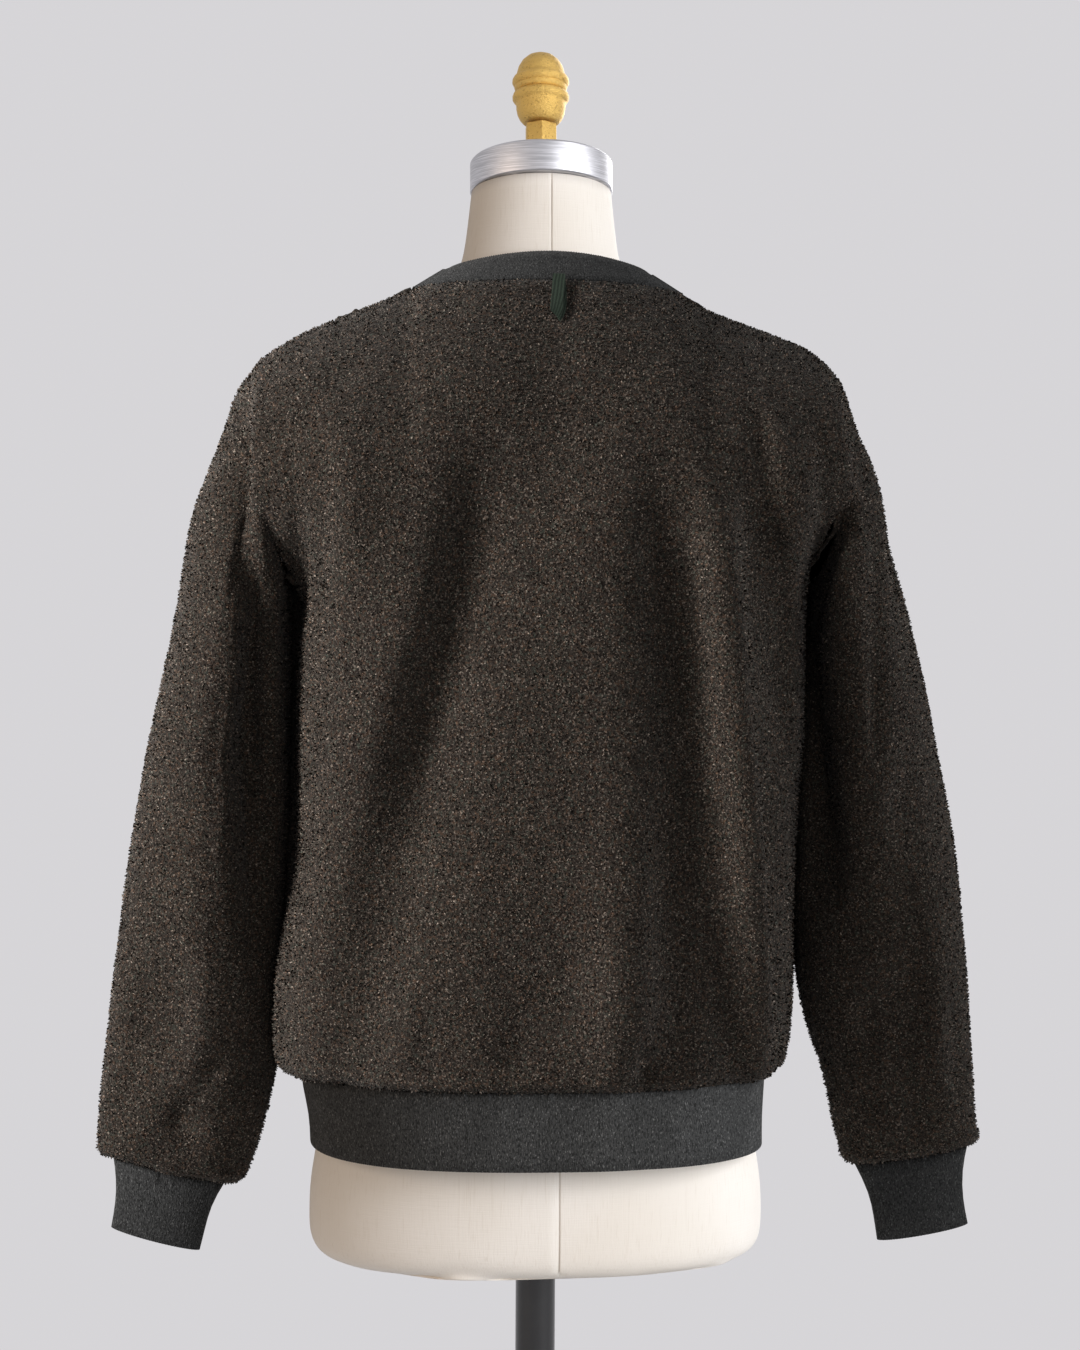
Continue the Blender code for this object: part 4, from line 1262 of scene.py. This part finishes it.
@dataclass
class Cardigan:
    """The whole garment."""

    fleece: bpy.types.Material
    nap: Nap
    rib: bpy.types.Material

    def armhole(self, side: int) -> tuple[Crease, ...]:
        """List the folds that cross an armhole seam, shared by the back and that sleeve.

        Args:
            side: 1 for the wearer's left, -1 for the right.

        Returns:
            The folds.
        """
        if side > 0:
            return (
                seam_crease(
                    ((0.2060, 1.430), (0.2090, 1.359), (0.2060, 1.252), (0.2033, 1.159), (0.1940, 1.060)),
                    0.0055, 0.0065,
                ),
                seam_crease(
                    ((0.2190, 1.440), (0.2220, 1.360), (0.2190, 1.252), (0.2160, 1.159), (0.2060, 1.030)),
                    -0.0085, 0.0085,
                ),
                seam_crease(((0.1830, 1.345), (0.1850, 1.280), (0.1860, 1.180)), -0.0040, 0.0060),
            )
        return (
            seam_crease(
                ((-0.1960, 1.420), (-0.2120, 1.345), (-0.2190, 1.305), (-0.2200, 1.263),
                 (-0.2170, 1.200), (-0.2200, 1.140), (-0.2380, 1.000)),
                0.0080, 0.0075,
            ),
            seam_crease(
                ((-0.1860, 1.400), (-0.1960, 1.320), (-0.2000, 1.240), (-0.2030, 1.120)),
                -0.0045, 0.0090,
            ),
            seam_crease(
                ((-0.2230, 1.390), (-0.2340, 1.310), (-0.2360, 1.230), (-0.2450, 1.060)),
                -0.0070, 0.0090,
            ),
        )

    def back_creases(self) -> tuple[Crease, ...]:
        """List the back panel's creases, as the photo shows them.

        Returns:
            The creases.
        """
        return (
            step_crease(
                ((0.1500, 1.370), (0.1550, 1.250), (0.1580, 1.130), (0.1600, 0.940)), -0.0090, 0.012
            ),
            Crease(((0.1780, 1.320), (0.1830, 1.250), (0.1850, 1.130), (0.1860, 0.900)), -0.0060, 0.007),
            step_crease(
                ((0.0520, 1.370), (0.0800, 1.220), (0.1030, 1.124), (0.1220, 1.040), (0.1500, 0.900),
                 (0.1650, 0.800)),
                0.0180, 0.015,
            ),
            step_crease(((0.0050, 1.360), (-0.0050, 1.120), (-0.0200, 0.820)), -0.0050, 0.030),
            step_crease(
                ((-0.0580, 1.370), (-0.0640, 1.200), (-0.0670, 1.060), (-0.0720, 0.820)), 0.0100, 0.014
            ),
            step_crease(
                ((-0.0980, 1.350), (-0.1060, 1.230), (-0.1165, 1.124), (-0.1290, 1.016), (-0.1480, 0.830)),
                -0.0130, 0.0085,
            ),
            step_crease(
                ((-0.1260, 1.320), (-0.1370, 1.140), (-0.1500, 1.010), (-0.1640, 0.850)), 0.0125, 0.0085
            ),
            step_crease(
                ((-0.1460, 1.390), (-0.1600, 1.300), (-0.1740, 1.220), (-0.1790, 1.070)), -0.0045, 0.006
            ),
            step_crease(((-0.0270, 1.030), (-0.0330, 0.876)), -0.0050, 0.010),
            Crease(((-0.0560, 0.918), (-0.0680, 0.880)), -0.0080, 0.009),
            Crease(((0.0950, 0.965), (0.1080, 0.884)), 0.0030, 0.012),
            Crease(((0.0250, 0.950), (0.0280, 0.884)), -0.0030, 0.014),
            step_crease(((0.1420, 1.040), (0.1520, 0.960), (0.1620, 0.830)), 0.0080, 0.016),
            Crease(((0.1150, 1.420), (0.1500, 1.380), (0.1900, 1.330)), -0.0024, 0.012),
            Crease(((-0.1250, 1.415), (-0.1600, 1.375), (-0.1950, 1.325)), -0.0024, 0.012),
        )

    def back(self) -> FleecePiece:
        """Describe the back panel.

        Returns:
            The panel, ready to build.
        """
        creases = self.armhole(1) + self.armhole(-1) + self.back_creases()
        return FleecePiece(
            "back_panel", (0.56, 0.62), creases, self.fleece, self.nap, ("dress_form",), 0,
            area=0.325,
        )

    def front(self, side: int) -> FleecePiece:
        """Describe a front panel, with folds like those of the back.

        Args:
            side: 1 for the wearer's left, -1 for the right.

        Returns:
            The panel, ready to build.
        """
        rows = (
            (((0.138, 1.330), (0.150, 1.200), (0.160, 1.080)), 0.0030, 0.010),
            (((0.120, 1.290), (0.130, 1.190), (0.140, 1.110)), -0.0026, 0.010),
            (((0.070, 1.270), (0.095, 1.120), (0.115, 0.960)), -0.0028, 0.015),
            (((0.052, 1.180), (0.066, 1.040), (0.072, 0.905)), 0.0022, 0.012),
            (((0.100, 0.970), (0.096, 0.890)), 0.0026, 0.010),
            (((0.150, 1.000), (0.148, 0.895)), -0.0028, 0.010),
            (((0.035, 0.960), (0.040, 0.886)), -0.0018, 0.010),
            (((0.105, 1.400), (0.150, 1.360), (0.185, 1.300)), -0.0018, 0.012),
        )
        creases = tuple(front_crease(mirrored(line, side), rise, width) for line, rise, width in rows)
        name = "front_left" if side > 0 else "front_right"
        return FleecePiece(
            name, (0.27, 0.62), creases, self.fleece, self.nap, ("dress_form",), 3 + side,
            area=0.143,
        )

    def sleeve_creases(self, side: int) -> tuple[Crease, ...]:
        """List the folds that hang from the underarm and slump over the cuff.

        Args:
            side: 1 for the wearer's left, -1 for the right.

        Returns:
            The folds.
        """
        rows = (
            (((0.2150, 1.250), (0.2300, 1.120)), -0.0030, 0.012),
            (((0.2350, 1.040), (0.2600, 0.980), (0.2950, 0.960)), -0.0028, 0.012),
            (((0.2350, 0.900), (0.2650, 0.865), (0.3050, 0.870)), -0.0030, 0.010),
        )
        shift = 0.0 if side > 0 else 0.010
        hidden = tuple(
            front_crease(mirrored(line, side, shift), rise, width) for line, rise, width in rows
        )
        if side > 0:
            return (
                step_crease(((0.2350, 1.350), (0.2420, 1.220), (0.2400, 1.060)), 0.0060, 0.014),
                step_crease(((0.2660, 1.040), (0.2560, 0.940), (0.2620, 0.840)), -0.0070, 0.012),
                step_crease(((0.2880, 0.980), (0.3020, 0.850)), 0.0045, 0.011),
                Crease(((0.2300, 0.900), (0.2600, 0.850), (0.2750, 0.830)), -0.0050, 0.008),
                Crease(((0.2980, 0.880), (0.3100, 0.840)), -0.0036, 0.008),
            ) + hidden
        return (
            step_crease(((-0.2480, 1.370), (-0.2540, 1.200), (-0.2580, 1.040)), 0.0080, 0.013),
            step_crease(((-0.2800, 1.040), (-0.2840, 0.940), (-0.2900, 0.840)), -0.0065, 0.010),
            Crease(((-0.2440, 0.940), (-0.2460, 0.890), (-0.2550, 0.830)), -0.0070, 0.011),
            Crease(((-0.3080, 0.930), (-0.3180, 0.850)), -0.0036, 0.009),
        ) + hidden

    def sleeve(self, side: int) -> FleecePiece:
        """Describe a sleeve.

        Args:
            side: 1 for the wearer's left, -1 for the right.

        Returns:
            The sleeve, ready to build.
        """
        name = "sleeve_left" if side > 0 else "sleeve_right"
        creases = self.armhole(side) + self.sleeve_creases(side)
        return FleecePiece(
            name, (0.42, 0.58), creases, self.fleece, self.nap, ("back_panel_fleece",), 6 + side,
            tube=True, area=0.178, held="hung", lean=0.0055 if side > 0 else 0.0015,
        )

    def build(self) -> None:
        """Build every panel, sleeve and band."""
        self.back().build()
        for side in (1, -1):
            self.front(side).build()
            self.sleeve(side).build()
        RibPiece(
            "hem_band", (1.00, 0.056), self.rib, Run.ROUND, 3, ("dress_form",), area=0.0555
        ).build()
        for name in ("cuff_left", "cuff_right"):
            RibPiece(
                name, (0.18, 0.056), self.rib, Run.ROUND, 2, ("sleeve_left_fleece",), tube=True,
            ).build()
        RibPiece(
            "neck_and_front_band", (1.75, 0.028), self.rib, Run.ALONG, 6, ("front_left_fleece",)
        ).build()


# Trimmings


class Station(NamedTuple):
    """A place along the tape: x, distance from the cloth, z, turn in degrees and relative width."""

    x: float
    out: float
    z: float
    roll: float
    scale: float


@dataclass
class HangerLoop:
    """Tape folded into a twisted loop, which hangs from the neck seam."""

    material: bpy.types.Material
    width: float = 0.0092
    thick: float = 0.0007
    clear: float = 0.0012
    panel_top: float = 1.4555
    behind: float = 0.3
    edge: float = 0.0002

    def stations(self) -> list[Matrix]:
        """Follow the tape from its front top end round its fold and back up.

        Returns:
            The tape's frames.
        """
        rows = (
            Station(-0.0072, 0.0026, 1.4572, 0.0, 1.00),
            Station(-0.0068, 0.0034, 1.4500, 2.0, 1.00),
            Station(-0.0058, 0.0040, 1.4410, 4.0, 1.00),
            Station(-0.0046, 0.0045, 1.4330, 2.0, 1.00),
            Station(-0.0040, 0.0048, 1.4270, -16.0, 1.00),
            Station(-0.0038, 0.0042, 1.4236, -38.0, 0.90),
            Station(-0.0048, 0.0028, 1.4232, -64.0, 0.85),
            Station(-0.0068, 0.0020, 1.4270, -24.0, 0.90),
            Station(-0.0078, 0.0017, 1.4360, -4.0, 0.95),
            Station(-0.0078, 0.0015, 1.4480, 0.0, 0.95),
            Station(-0.0076, 0.0013, 1.4570, 0.0, 0.95),
        )
        node = frame["nodes"]["back_panel"]
        tree = BVHTree.FromPolygons(
            [v.co for v in node.data.vertices], [tuple(p.vertices) for p in node.data.polygons]
        )
        frames = []
        for row in rows:
            start = Vector((row.x, self.behind, min(row.z, self.panel_top)))
            place, normal, _, _ = tree.ray_cast(start, Vector((0, -1, 0)))
            at = Vector((row.x, place.y, row.z)) + normal * (row.out + self.clear)
            turn = Matrix.Rotation(math.radians(row.roll), 4, "Y")
            frames.append(Matrix.Translation(at) @ turn @ Matrix.Scale(row.scale, 4))
        return frames

    def build(self) -> bpy.types.Object:
        """Returns:
            The loop.
        """
        work = bmesh.new()
        frames = self.stations()
        edge = level_edge(work, self.width)
        bmesh.ops.transform(work, matrix=frames[0], verts=edge.verts)
        for before, after in zip(frames[:-1], frames[1:]):
            edge = drawn_edge(work, edge)
            bmesh.ops.transform(work, matrix=after @ before.inverted(), verts=edge.verts)
        bmesh.ops.solidify(work, geom=work.faces, thickness=self.thick)
        bmesh.ops.recalc_face_normals(work, faces=work.faces)
        piece = linked("hanger_loop_tape", work, self.material, 50.0)
        modifier = piece.modifiers.new("edge", "BEVEL")
        modifier.width, modifier.segments = self.edge, 1
        applied(piece)
        subdivided(piece, 2)
        declare(piece, "tape", "hanger_loop")
        return piece


@dataclass
class Buttons:
    """Sewn buttons on the front band."""

    horn: bpy.types.Material
    thread: bpy.types.Material
    radius: float = 0.0090
    thick: float = 0.0032
    hole: float = 0.0009
    spread: float = 0.0017
    count: int = 6
    drill_length: float = 0.01
    rim_share: float = 0.22
    slope_share: float = 0.10
    dish: float = 0.0007
    edge: float = 0.0006
    strand: float = 0.00034
    strand_height: float = 0.0004
    strand_edge: float = 0.00012
    overlap: float = 0.0006
    turn: float = 0.3

    def blank(self) -> bpy.types.Object:
        """Turn a button with a dished face.

        Returns:
            The button, without its holes.
        """
        work = bmesh.new()
        bmesh.ops.create_cone(
            work, cap_ends=True, segments=48, radius1=self.radius, radius2=self.radius, depth=self.thick
        )
        top = max(work.faces, key=lambda f: f.calc_center_median().z)
        bmesh.ops.inset_region(work, faces=[top], thickness=self.radius * self.rim_share, depth=0.0)
        bmesh.ops.inset_region(
            work, faces=[top], thickness=self.radius * self.slope_share, depth=-self.dish
        )
        round_edges(work, sharp_edges(work), self.edge)
        return linked("button_blank", work, self.horn, 35.0)

    def drill(self) -> bpy.types.Object:
        """Make the four pins that cut a button's holes.

        Returns:
            The pins, as one object.
        """
        work = bmesh.new()
        for x, y in ((1, 1), (1, -1), (-1, 1), (-1, -1)):
            bmesh.ops.create_cone(
                work, cap_ends=True, segments=14, radius1=self.hole, radius2=self.hole,
                depth=self.drill_length, matrix=Matrix.Translation((x * self.spread, y * self.spread, 0.0)),
            )
        return linked("button_drill", work, self.horn)

    def disc(self) -> bpy.types.Mesh:
        """Drill a button.

        Returns:
            The mesh of one button with its holes.
        """
        disc, drill = self.blank(), self.drill()
        modifier = disc.modifiers.new("holes", "BOOLEAN")
        modifier.operation, modifier.solver, modifier.object = "DIFFERENCE", "EXACT", drill
        mesh = applied(disc).data
        bpy.data.objects.remove(disc)
        bpy.data.objects.remove(drill)
        return mesh

    def stitches(self) -> bpy.types.Mesh:
        """Lay the thread through one button's holes.

        Returns:
            The thread's mesh.
        """
        work = bmesh.new()
        size = (self.spread * 2 + self.overlap, self.strand, self.strand_height, 1.0)
        for row in (-1, 1):
            for strand in (-1, 0, 1):
                y = row * self.spread + strand * self.strand
                place = Matrix.Translation((0.0, y, self.thick / 2 - self.strand_height))
                made = bmesh.ops.create_cube(work, size=1.0, matrix=place @ Matrix.Diagonal(size))
                edges = list({e for v in made["verts"] for e in v.link_edges})
                round_edges(work, edges, self.strand_edge, 2)
        thread = linked("button_thread_blank", work, self.thread)
        mesh = thread.data
        bpy.data.objects.remove(thread)
        return mesh

    def build(self) -> None:
        """Build and declare every button with its thread, where the CAD's button sits."""
        disc, stitches = self.disc(), self.stitches()
        for index in range(self.count):
            node = f"button_{index + 1}"
            points = node_points(node)
            centre = (points.min(axis=0) + points.max(axis=0)) / 2
            normal = Vector(np.linalg.svd(points - points.mean(axis=0), full_matrices=False)[2][2])
            if normal.y > 0:
                normal.negate()
            turn = normal.to_track_quat("Z", "X").to_matrix().to_4x4()
            spin = Matrix.Rotation(self.turn * index, 4, "Z")
            for suffix, mesh, slot in (("horn", disc, "horn"), ("thread", stitches, "tape")):
                copy = mesh.copy()
                copy.transform(Matrix.Translation(centre) @ turn @ spin)
                piece = placed(f"{node}_{suffix}", copy)
                declare(piece, slot, *([node] if suffix == "horn" else []))


# Dress form and stand


@dataclass
class DressForm:
    """The form's linen cover, with its upright seams in front and at the back."""

    material: bpy.types.Material
    groove: float = 0.0008
    half_width: float = 0.0011
    seam_x: float = -0.0042
    seam_z: float = 1.50
    lean: float = 0.006
    sharp: float = 0.9
    upright: float = 0.8

    def cover(self) -> bpy.types.Object:
        """Take the form's surface, rounded off except at its sharp edges.

        Returns:
            The cover, without its seams.
        """
        quads = node_quads("dress_form")
        crease = quads.edges.layers.float.new("crease_edge")
        for edge in quads.edges:
            if edge.calc_face_angle(0.0) > self.sharp:
                edge[crease] = 1.0
        return subdivided(linked("dress_form_linen", quads, self.material, 60.0), 2, True)

    def sew(self, work: BMesh) -> None:
        """Cut three lines along the seams and draw the middle one in.

        Args:
            work: The cover's mesh.
        """
        across = Vector((1.0, 0.0, -self.lean)).normalized()
        middle = Vector((self.seam_x, 0.0, self.seam_z))
        for shift in (-self.half_width, 0.0, self.half_width):
            bmesh.ops.bisect_plane(
                work, geom=work.verts[:] + work.edges[:] + work.faces[:], dist=TOUCH,
                plane_co=middle + across * shift, plane_no=across,
            )
        work.normal_update()
        moves = [
            (vert, vert.normal.copy())
            for vert in work.verts
            if abs((vert.co - middle).dot(across)) < WELD and abs(vert.normal.z) < self.upright
        ]
        for vert, normal in moves:
            vert.co -= normal * self.groove

    def build(self) -> bpy.types.Object:
        """Returns:
            The cover.
        """
        piece = self.cover()
        work = bmesh.new()
        work.from_mesh(piece.data)
        self.sew(work)
        work.to_mesh(piece.data)
        work.free()
        return declare(piece, "linen", "dress_form")


@dataclass
class Turning:
    """A turned piece, spun from a profile of radius and height."""

    name: str
    profile: tuple[tuple[float, float], ...]
    material: bpy.types.Material
    slot: str
    node: str
    place: Matrix
    steps: int
    bevel: float = 0.0

    def build(self) -> bpy.types.Object:
        """Returns:
            The piece.
        """
        work = bmesh.new()
        verts = [work.verts.new((radius, 0.0, height)) for radius, height in self.profile]
        edges = [work.edges.new(pair) for pair in zip(verts[:-1], verts[1:])]
        bmesh.ops.spin(
            work, geom=verts + edges, cent=(0, 0, 0), axis=(0, 0, 1), angle=math.tau,
            steps=self.steps, use_merge=True,
        )
        bmesh.ops.remove_doubles(work, verts=work.verts, dist=TOUCH)
        bmesh.ops.recalc_face_normals(work, faces=work.faces)
        if self.bevel:
            round_edges(work, sharp_edges(work), self.bevel)
        bmesh.ops.transform(work, matrix=self.place, verts=work.verts)
        return declare(linked(self.name, work, self.material), self.slot, self.node)


@dataclass
class Stand:
    """Neck cap, finial with its stem, pole and base."""

    aluminium: bpy.types.Material
    gilt: bpy.types.Material
    gloss: bpy.types.Material
    satin: bpy.types.Material
    tilt: float = math.radians(8.0)
    neck_top: float = 1.531
    cap_height: float = 0.024
    cap_radius: float = 0.0535
    cap_edge: float = 0.0014
    gap: float = 0.0003
    finial_foot: float = 1.5555
    stem_radius: float = 0.0129
    stem_height: float = 0.0296
    stem_edge: float = 0.0009
    screw_out: float = 0.0112
    screw_up: float = 0.018
    screw_radii: tuple[float, float] = (0.0026, 0.0022)
    screw_height: float = 0.0014
    screw_wall: float = 0.0006
    screw_depth: float = 0.0005
    pole_edge: float = 0.0005

    def cap_frame(self) -> Matrix:
        """Find the cap's middle, tilted back.

        Returns:
            The cap's frame.
        """
        y = BODY_Y - math.sin(self.tilt) * self.cap_height / 2
        at = Vector((0.0, y, self.neck_top + self.cap_height / 2 + self.gap))
        return Matrix.Translation(at) @ Matrix.Rotation(self.tilt, 4, "X")

    def build_cap(self, place: Matrix) -> None:
        """Build the neck cap.

        Args:
            place: The cap's frame.
        """
        half, rim, edge = self.cap_height / 2, self.cap_radius, self.cap_edge
        profile = (
            (0.0, half), (rim - edge, half), (rim, half - edge), (rim, -half + 0.001),
            (rim - 0.001, -half), (0.0, -half),
        )
        Turning(
            "neck_cap_rim", profile, self.aluminium, "aluminium", "neck_cap", place, 96, bevel=0.0003
        ).build()

    def build_finial(self, place: Matrix) -> None:
        """Build the finial's turned head from its radii and heights over the floor.

        Args:
            place: The cap's frame.
        """
        shift = self.cap_height / 2 + self.gap - self.finial_foot
        profile = (
            (0.0, 1.6418), (0.0050, 1.6412), (0.0100, 1.6390), (0.0140, 1.6354), (0.0167, 1.6308),
            (0.0180, 1.6262), (0.0183, 1.6236), (0.0187, 1.6230), (0.0203, 1.6224), (0.0213, 1.6206),
            (0.0215, 1.6184), (0.0205, 1.6166), (0.0196, 1.6158), (0.0199, 1.6142), (0.0192, 1.6122),
            (0.0182, 1.6114), (0.0187, 1.6104), (0.0206, 1.6094), (0.0214, 1.6074), (0.0213, 1.6052),
            (0.0202, 1.6036), (0.0191, 1.6026), (0.0186, 1.6008), (0.0185, 1.5976), (0.0177, 1.5936),
            (0.0160, 1.5898), (0.0138, 1.5872), (0.0124, 1.5863), (0.0, 1.5860),
        )
        moved = tuple((radius, height + shift) for radius, height in profile)
        Turning("finial_gilt", moved, self.gilt, "gilt", "finial", place, 96).build()

    def build_stem(self, place: Matrix) -> None:
        """Build the finial's six-sided stem.

        Args:
            place: The cap's frame.
        """
        low = self.cap_height / 2 + self.gap
        work = bmesh.new()
        bmesh.ops.create_cone(
            work, cap_ends=True, segments=6, radius1=self.stem_radius, radius2=self.stem_radius,
            depth=self.stem_height, matrix=Matrix.Translation((0.0, 0.0, low + self.stem_height / 2)),
        )
        round_edges(work, work.edges[:], self.stem_edge)
        bmesh.ops.transform(work, matrix=place, verts=work.verts)
        declare(linked("finial_stem_gilt", work, self.gilt, 35.0), "gilt", "finial_stem")

    def build_screw(self, place: Matrix) -> None:
        """Build the small screw in the stem's side, with its hollow.

        Args:
            place: The cap's frame.
        """
        height = self.cap_height / 2 + self.gap + self.screw_up
        turn = Matrix.Translation((0.0, self.screw_out, height)) @ Matrix.Rotation(-math.pi / 2, 4, "X")
        work = bmesh.new()
        bmesh.ops.create_cone(
            work, cap_ends=True, segments=24, radius1=self.screw_radii[0],
            radius2=self.screw_radii[1], depth=self.screw_height, matrix=turn,
        )
        top = max(work.faces, key=lambda f: f.calc_center_median().y)
        bmesh.ops.inset_region(
            work, faces=[top], thickness=self.screw_wall, depth=-self.screw_depth
        )
        bmesh.ops.transform(work, matrix=place, verts=work.verts)
        declare(linked("finial_stem_screw", work, self.gilt, 35.0), "gilt")

    def build_pole(self) -> None:
        """Build the pole, as wide and high as the CAD's."""
        low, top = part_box("pole")
        radius, edge = top.x, self.pole_edge
        profile = (
            (0.0, top.z), (radius - edge, top.z), (radius, top.z - edge), (radius, low.z + edge),
            (radius - edge, low.z), (0.0, low.z),
        )
        Turning("pole_tube", profile, self.gloss, "pole", "pole", Matrix.Identity(4), 64).build()

    def build_base(self) -> None:
        """Build the round base with the pole's socket."""
        profile = (
            (0.0, 0.055), (0.0245, 0.055), (0.0263, 0.0543), (0.0270, 0.0525), (0.0270, 0.0180),
            (0.0276, 0.0140), (0.0292, 0.0115), (0.0325, 0.0102), (0.0400, 0.0100), (0.1710, 0.0100),
            (0.1733, 0.0094), (0.1746, 0.0080), (0.1750, 0.0060), (0.1750, 0.0020), (0.1745, 0.0006),
            (0.1735, 0.0), (0.0, 0.0),
        )
        Turning("base_plate", profile, self.satin, "base", "base", Matrix.Identity(4), 128).build()

    def build(self) -> None:
        """Build the stand's pieces."""
        place = self.cap_frame()
        self.build_cap(place)
        self.build_finial(place)
        self.build_stem(place)
        self.build_screw(place)
        self.build_pole()
        self.build_base()


# Studio


class Lamp(NamedTuple):
    """A square area light: its name, place, side in metres, power in watts and colour."""

    name: str
    place: tuple[float, float, float]
    size: float
    power: float
    tint: Colour


@dataclass
class Studio:
    """Camera at the photo's angle, plain pale floor, and soft lights in two groups."""

    focal: float = 2440.0
    distance: float = 1.83
    height: float = 1.17
    swing: float = math.radians(4.5)
    roll: float = 7.0 / 1200.0
    axis_x: float = 538.9
    image: tuple[int, int] = (1080, 1350)
    sensor: float = 36.0
    aim: Vector = field(default_factory=lambda: Vector((0.0, 0.0, 1.1)))
    floor_radius: float = 1.9
    floor_gap: float = 0.0006
    seen_room: Colour = (0.675, 0.665, 0.685)
    room_light: Colour = (0.96, 0.97, 1.0)
    room_strength: float = 0.13
    cloth_names: tuple[str, ...] = (
        "_fleece", "_nap", "front_band_rib", "cuff_left_rib", "cuff_right_rib", "_tape", "_horn",
        "_thread",
    )
    form_names: tuple[str, ...] = (
        "_linen", "hem_band_rib", "_rim", "_gilt", "_screw", "_tube", "_plate", "_floor",
    )
    cloth_lamps: tuple[Lamp, ...] = (
        Lamp("room", (2.7, 1.35, 1.9), 1.0, 124.0, (1.0, 0.97, 0.95)),
        Lamp("soft", (-0.9, 3.0, 1.7), 1.8, 11.0, (1.0, 0.98, 0.96)),
        Lamp("rim", (-2.4, 0.2, 1.9), 1.4, 26.0, (0.98, 0.99, 1.0)),
        Lamp("front", (1.6, -2.2, 2.1), 1.4, 70.0, (1.0, 0.98, 0.96)),
    )
    form_lamps: tuple[Lamp, ...] = (
        Lamp("window", (-1.9, 1.7, 1.7), 1.9, 82.0, (0.99, 0.99, 1.0)),
        Lamp("warm_fill", (2.2, 1.5, 1.5), 1.6, 22.0, (1.0, 0.78, 0.58)),
        Lamp("form_front", (-1.2, -2.3, 2.1), 1.6, 46.0, (1.0, 0.99, 0.98)),
    )

    def camera(self) -> None:
        """Place the camera."""
        data = bpy.data.cameras.new("camera")
        data.sensor_fit = "VERTICAL"
        data.sensor_height = self.sensor
        data.lens = self.focal / self.image[1] * self.sensor
        data.clip_end = 50.0
        ahead = Vector((-math.sin(self.swing), -math.cos(self.swing), 0.0))
        right = Vector((-math.cos(self.swing), math.sin(self.swing), 0.0))
        up = Vector((0.0, 0.0, 1.0))
        place = -ahead * self.distance + up * self.height
        place += right * ((self.image[0] / 2 - self.axis_x) * self.distance / self.focal)
        turned_right = right * math.cos(self.roll) + up * math.sin(self.roll)
        turned_up = up * math.cos(self.roll) - right * math.sin(self.roll)
        camera = bpy.data.objects.new("camera", data)
        camera.matrix_world = Matrix((
            (turned_right.x, turned_up.x, -ahead.x, place.x),
            (turned_right.y, turned_up.y, -ahead.y, place.y),
            (turned_right.z, turned_up.z, -ahead.z, place.z),
            (0.0, 0.0, 0.0, 1.0),
        ))
        bpy.context.scene.collection.objects.link(camera)
        bpy.context.scene.camera = camera

    def group(self, name: str, endings: tuple[str, ...]) -> bpy.types.Collection:
        """Gather pieces for a group of lamps.

        Args:
            name: The group's name.
            endings: How the pieces' names end.

        Returns:
            A collection of the pieces.
        """
        group = bpy.data.collections.new(name)
        for piece in bpy.context.scene.objects:
            if piece.name.endswith(endings):
                group.objects.link(piece)
        return group

    def light(self, row: Lamp, lit: bpy.types.Collection) -> None:
        """Set up a lamp that points at the part's middle.

        Args:
            row: The lamp.
            lit: The only pieces that it lights.
        """
        data = bpy.data.lights.new(row.name, "AREA")
        data.shape = "SQUARE"
        data.size, data.energy, data.color = row.size, row.power, row.tint
        lamp = bpy.data.objects.new(row.name, data)
        turn = (self.aim - Vector(row.place)).to_track_quat("-Z", "Y")
        lamp.matrix_world = Matrix.Translation(row.place) @ turn.to_matrix().to_4x4()
        lamp.light_linking.receiver_collection = lit
        bpy.context.scene.collection.objects.link(lamp)

    def room(self) -> bpy.types.World:
        """Make a pale room that lights the part less than the camera sees of it.

        Returns:
            The room.
        """
        world = bpy.data.worlds.new("room")
        world.use_nodes = True
        graph = Graph(world.node_tree)
        graph.nodes.remove(graph.nodes["Background"])
        seen = graph.node("ShaderNodeBackground", inputs={"Color": (*self.seen_room, 1.0)})
        light = graph.node(
            "ShaderNodeBackground",
            inputs={"Color": (*self.room_light, 1.0), "Strength": self.room_strength},
        )
        diffuse = graph.node("ShaderNodeLightPath", output="Is Diffuse Ray")
        mixed = graph.node("ShaderNodeMixShader", inputs={0: diffuse, 1: seen, 2: light})
        graph.feed(graph.nodes["World Output"], {"Surface": mixed})
        return world

    def build(self) -> None:
        """Build the whole studio."""
        self.camera()
        work = bmesh.new()
        bmesh.ops.create_circle(work, cap_ends=True, segments=96, radius=self.floor_radius)
        bmesh.ops.translate(work, verts=work.verts, vec=(0.0, 0.0, -self.floor_gap))
        linked("studio_floor", work, PlasterFinish().make())
        cloth = self.group("lit_cloth", self.cloth_names)
        form = self.group("lit_form", self.form_names)
        for rows, lit in ((self.cloth_lamps, cloth), (self.form_lamps, form)):
            for row in rows:
                self.light(row, lit)
        bpy.context.scene.world = self.room()
        bpy.context.scene.view_settings.view_transform = "Standard"


def main() -> None:
    """Build the cardigan, its trimmings, the form, the stand and the studio."""
    logging.basicConfig(level=logging.INFO, format="%(message)s")
    nap = Nap(FleeceFinish("fleece_nap", True).make())
    Cardigan(FleeceFinish().make(), nap, RibFinish().make()).build()
    tape = TapeFinish().make()
    HangerLoop(tape).build()
    Buttons(HornFinish().make(), tape).build()
    DressForm(LinenFinish().make()).build()
    Stand(
        BrushedFinish().make(),
        GiltFinish().make(),
        PaintFinish("pole_gloss").make(),
        PaintFinish("base_satin", roughness=0.38, grain=900.0, depth=0.0005).make(),
    ).build()
    Studio().build()
    bpy.context.view_layer.update()


if __name__ == "__main__":
    main()
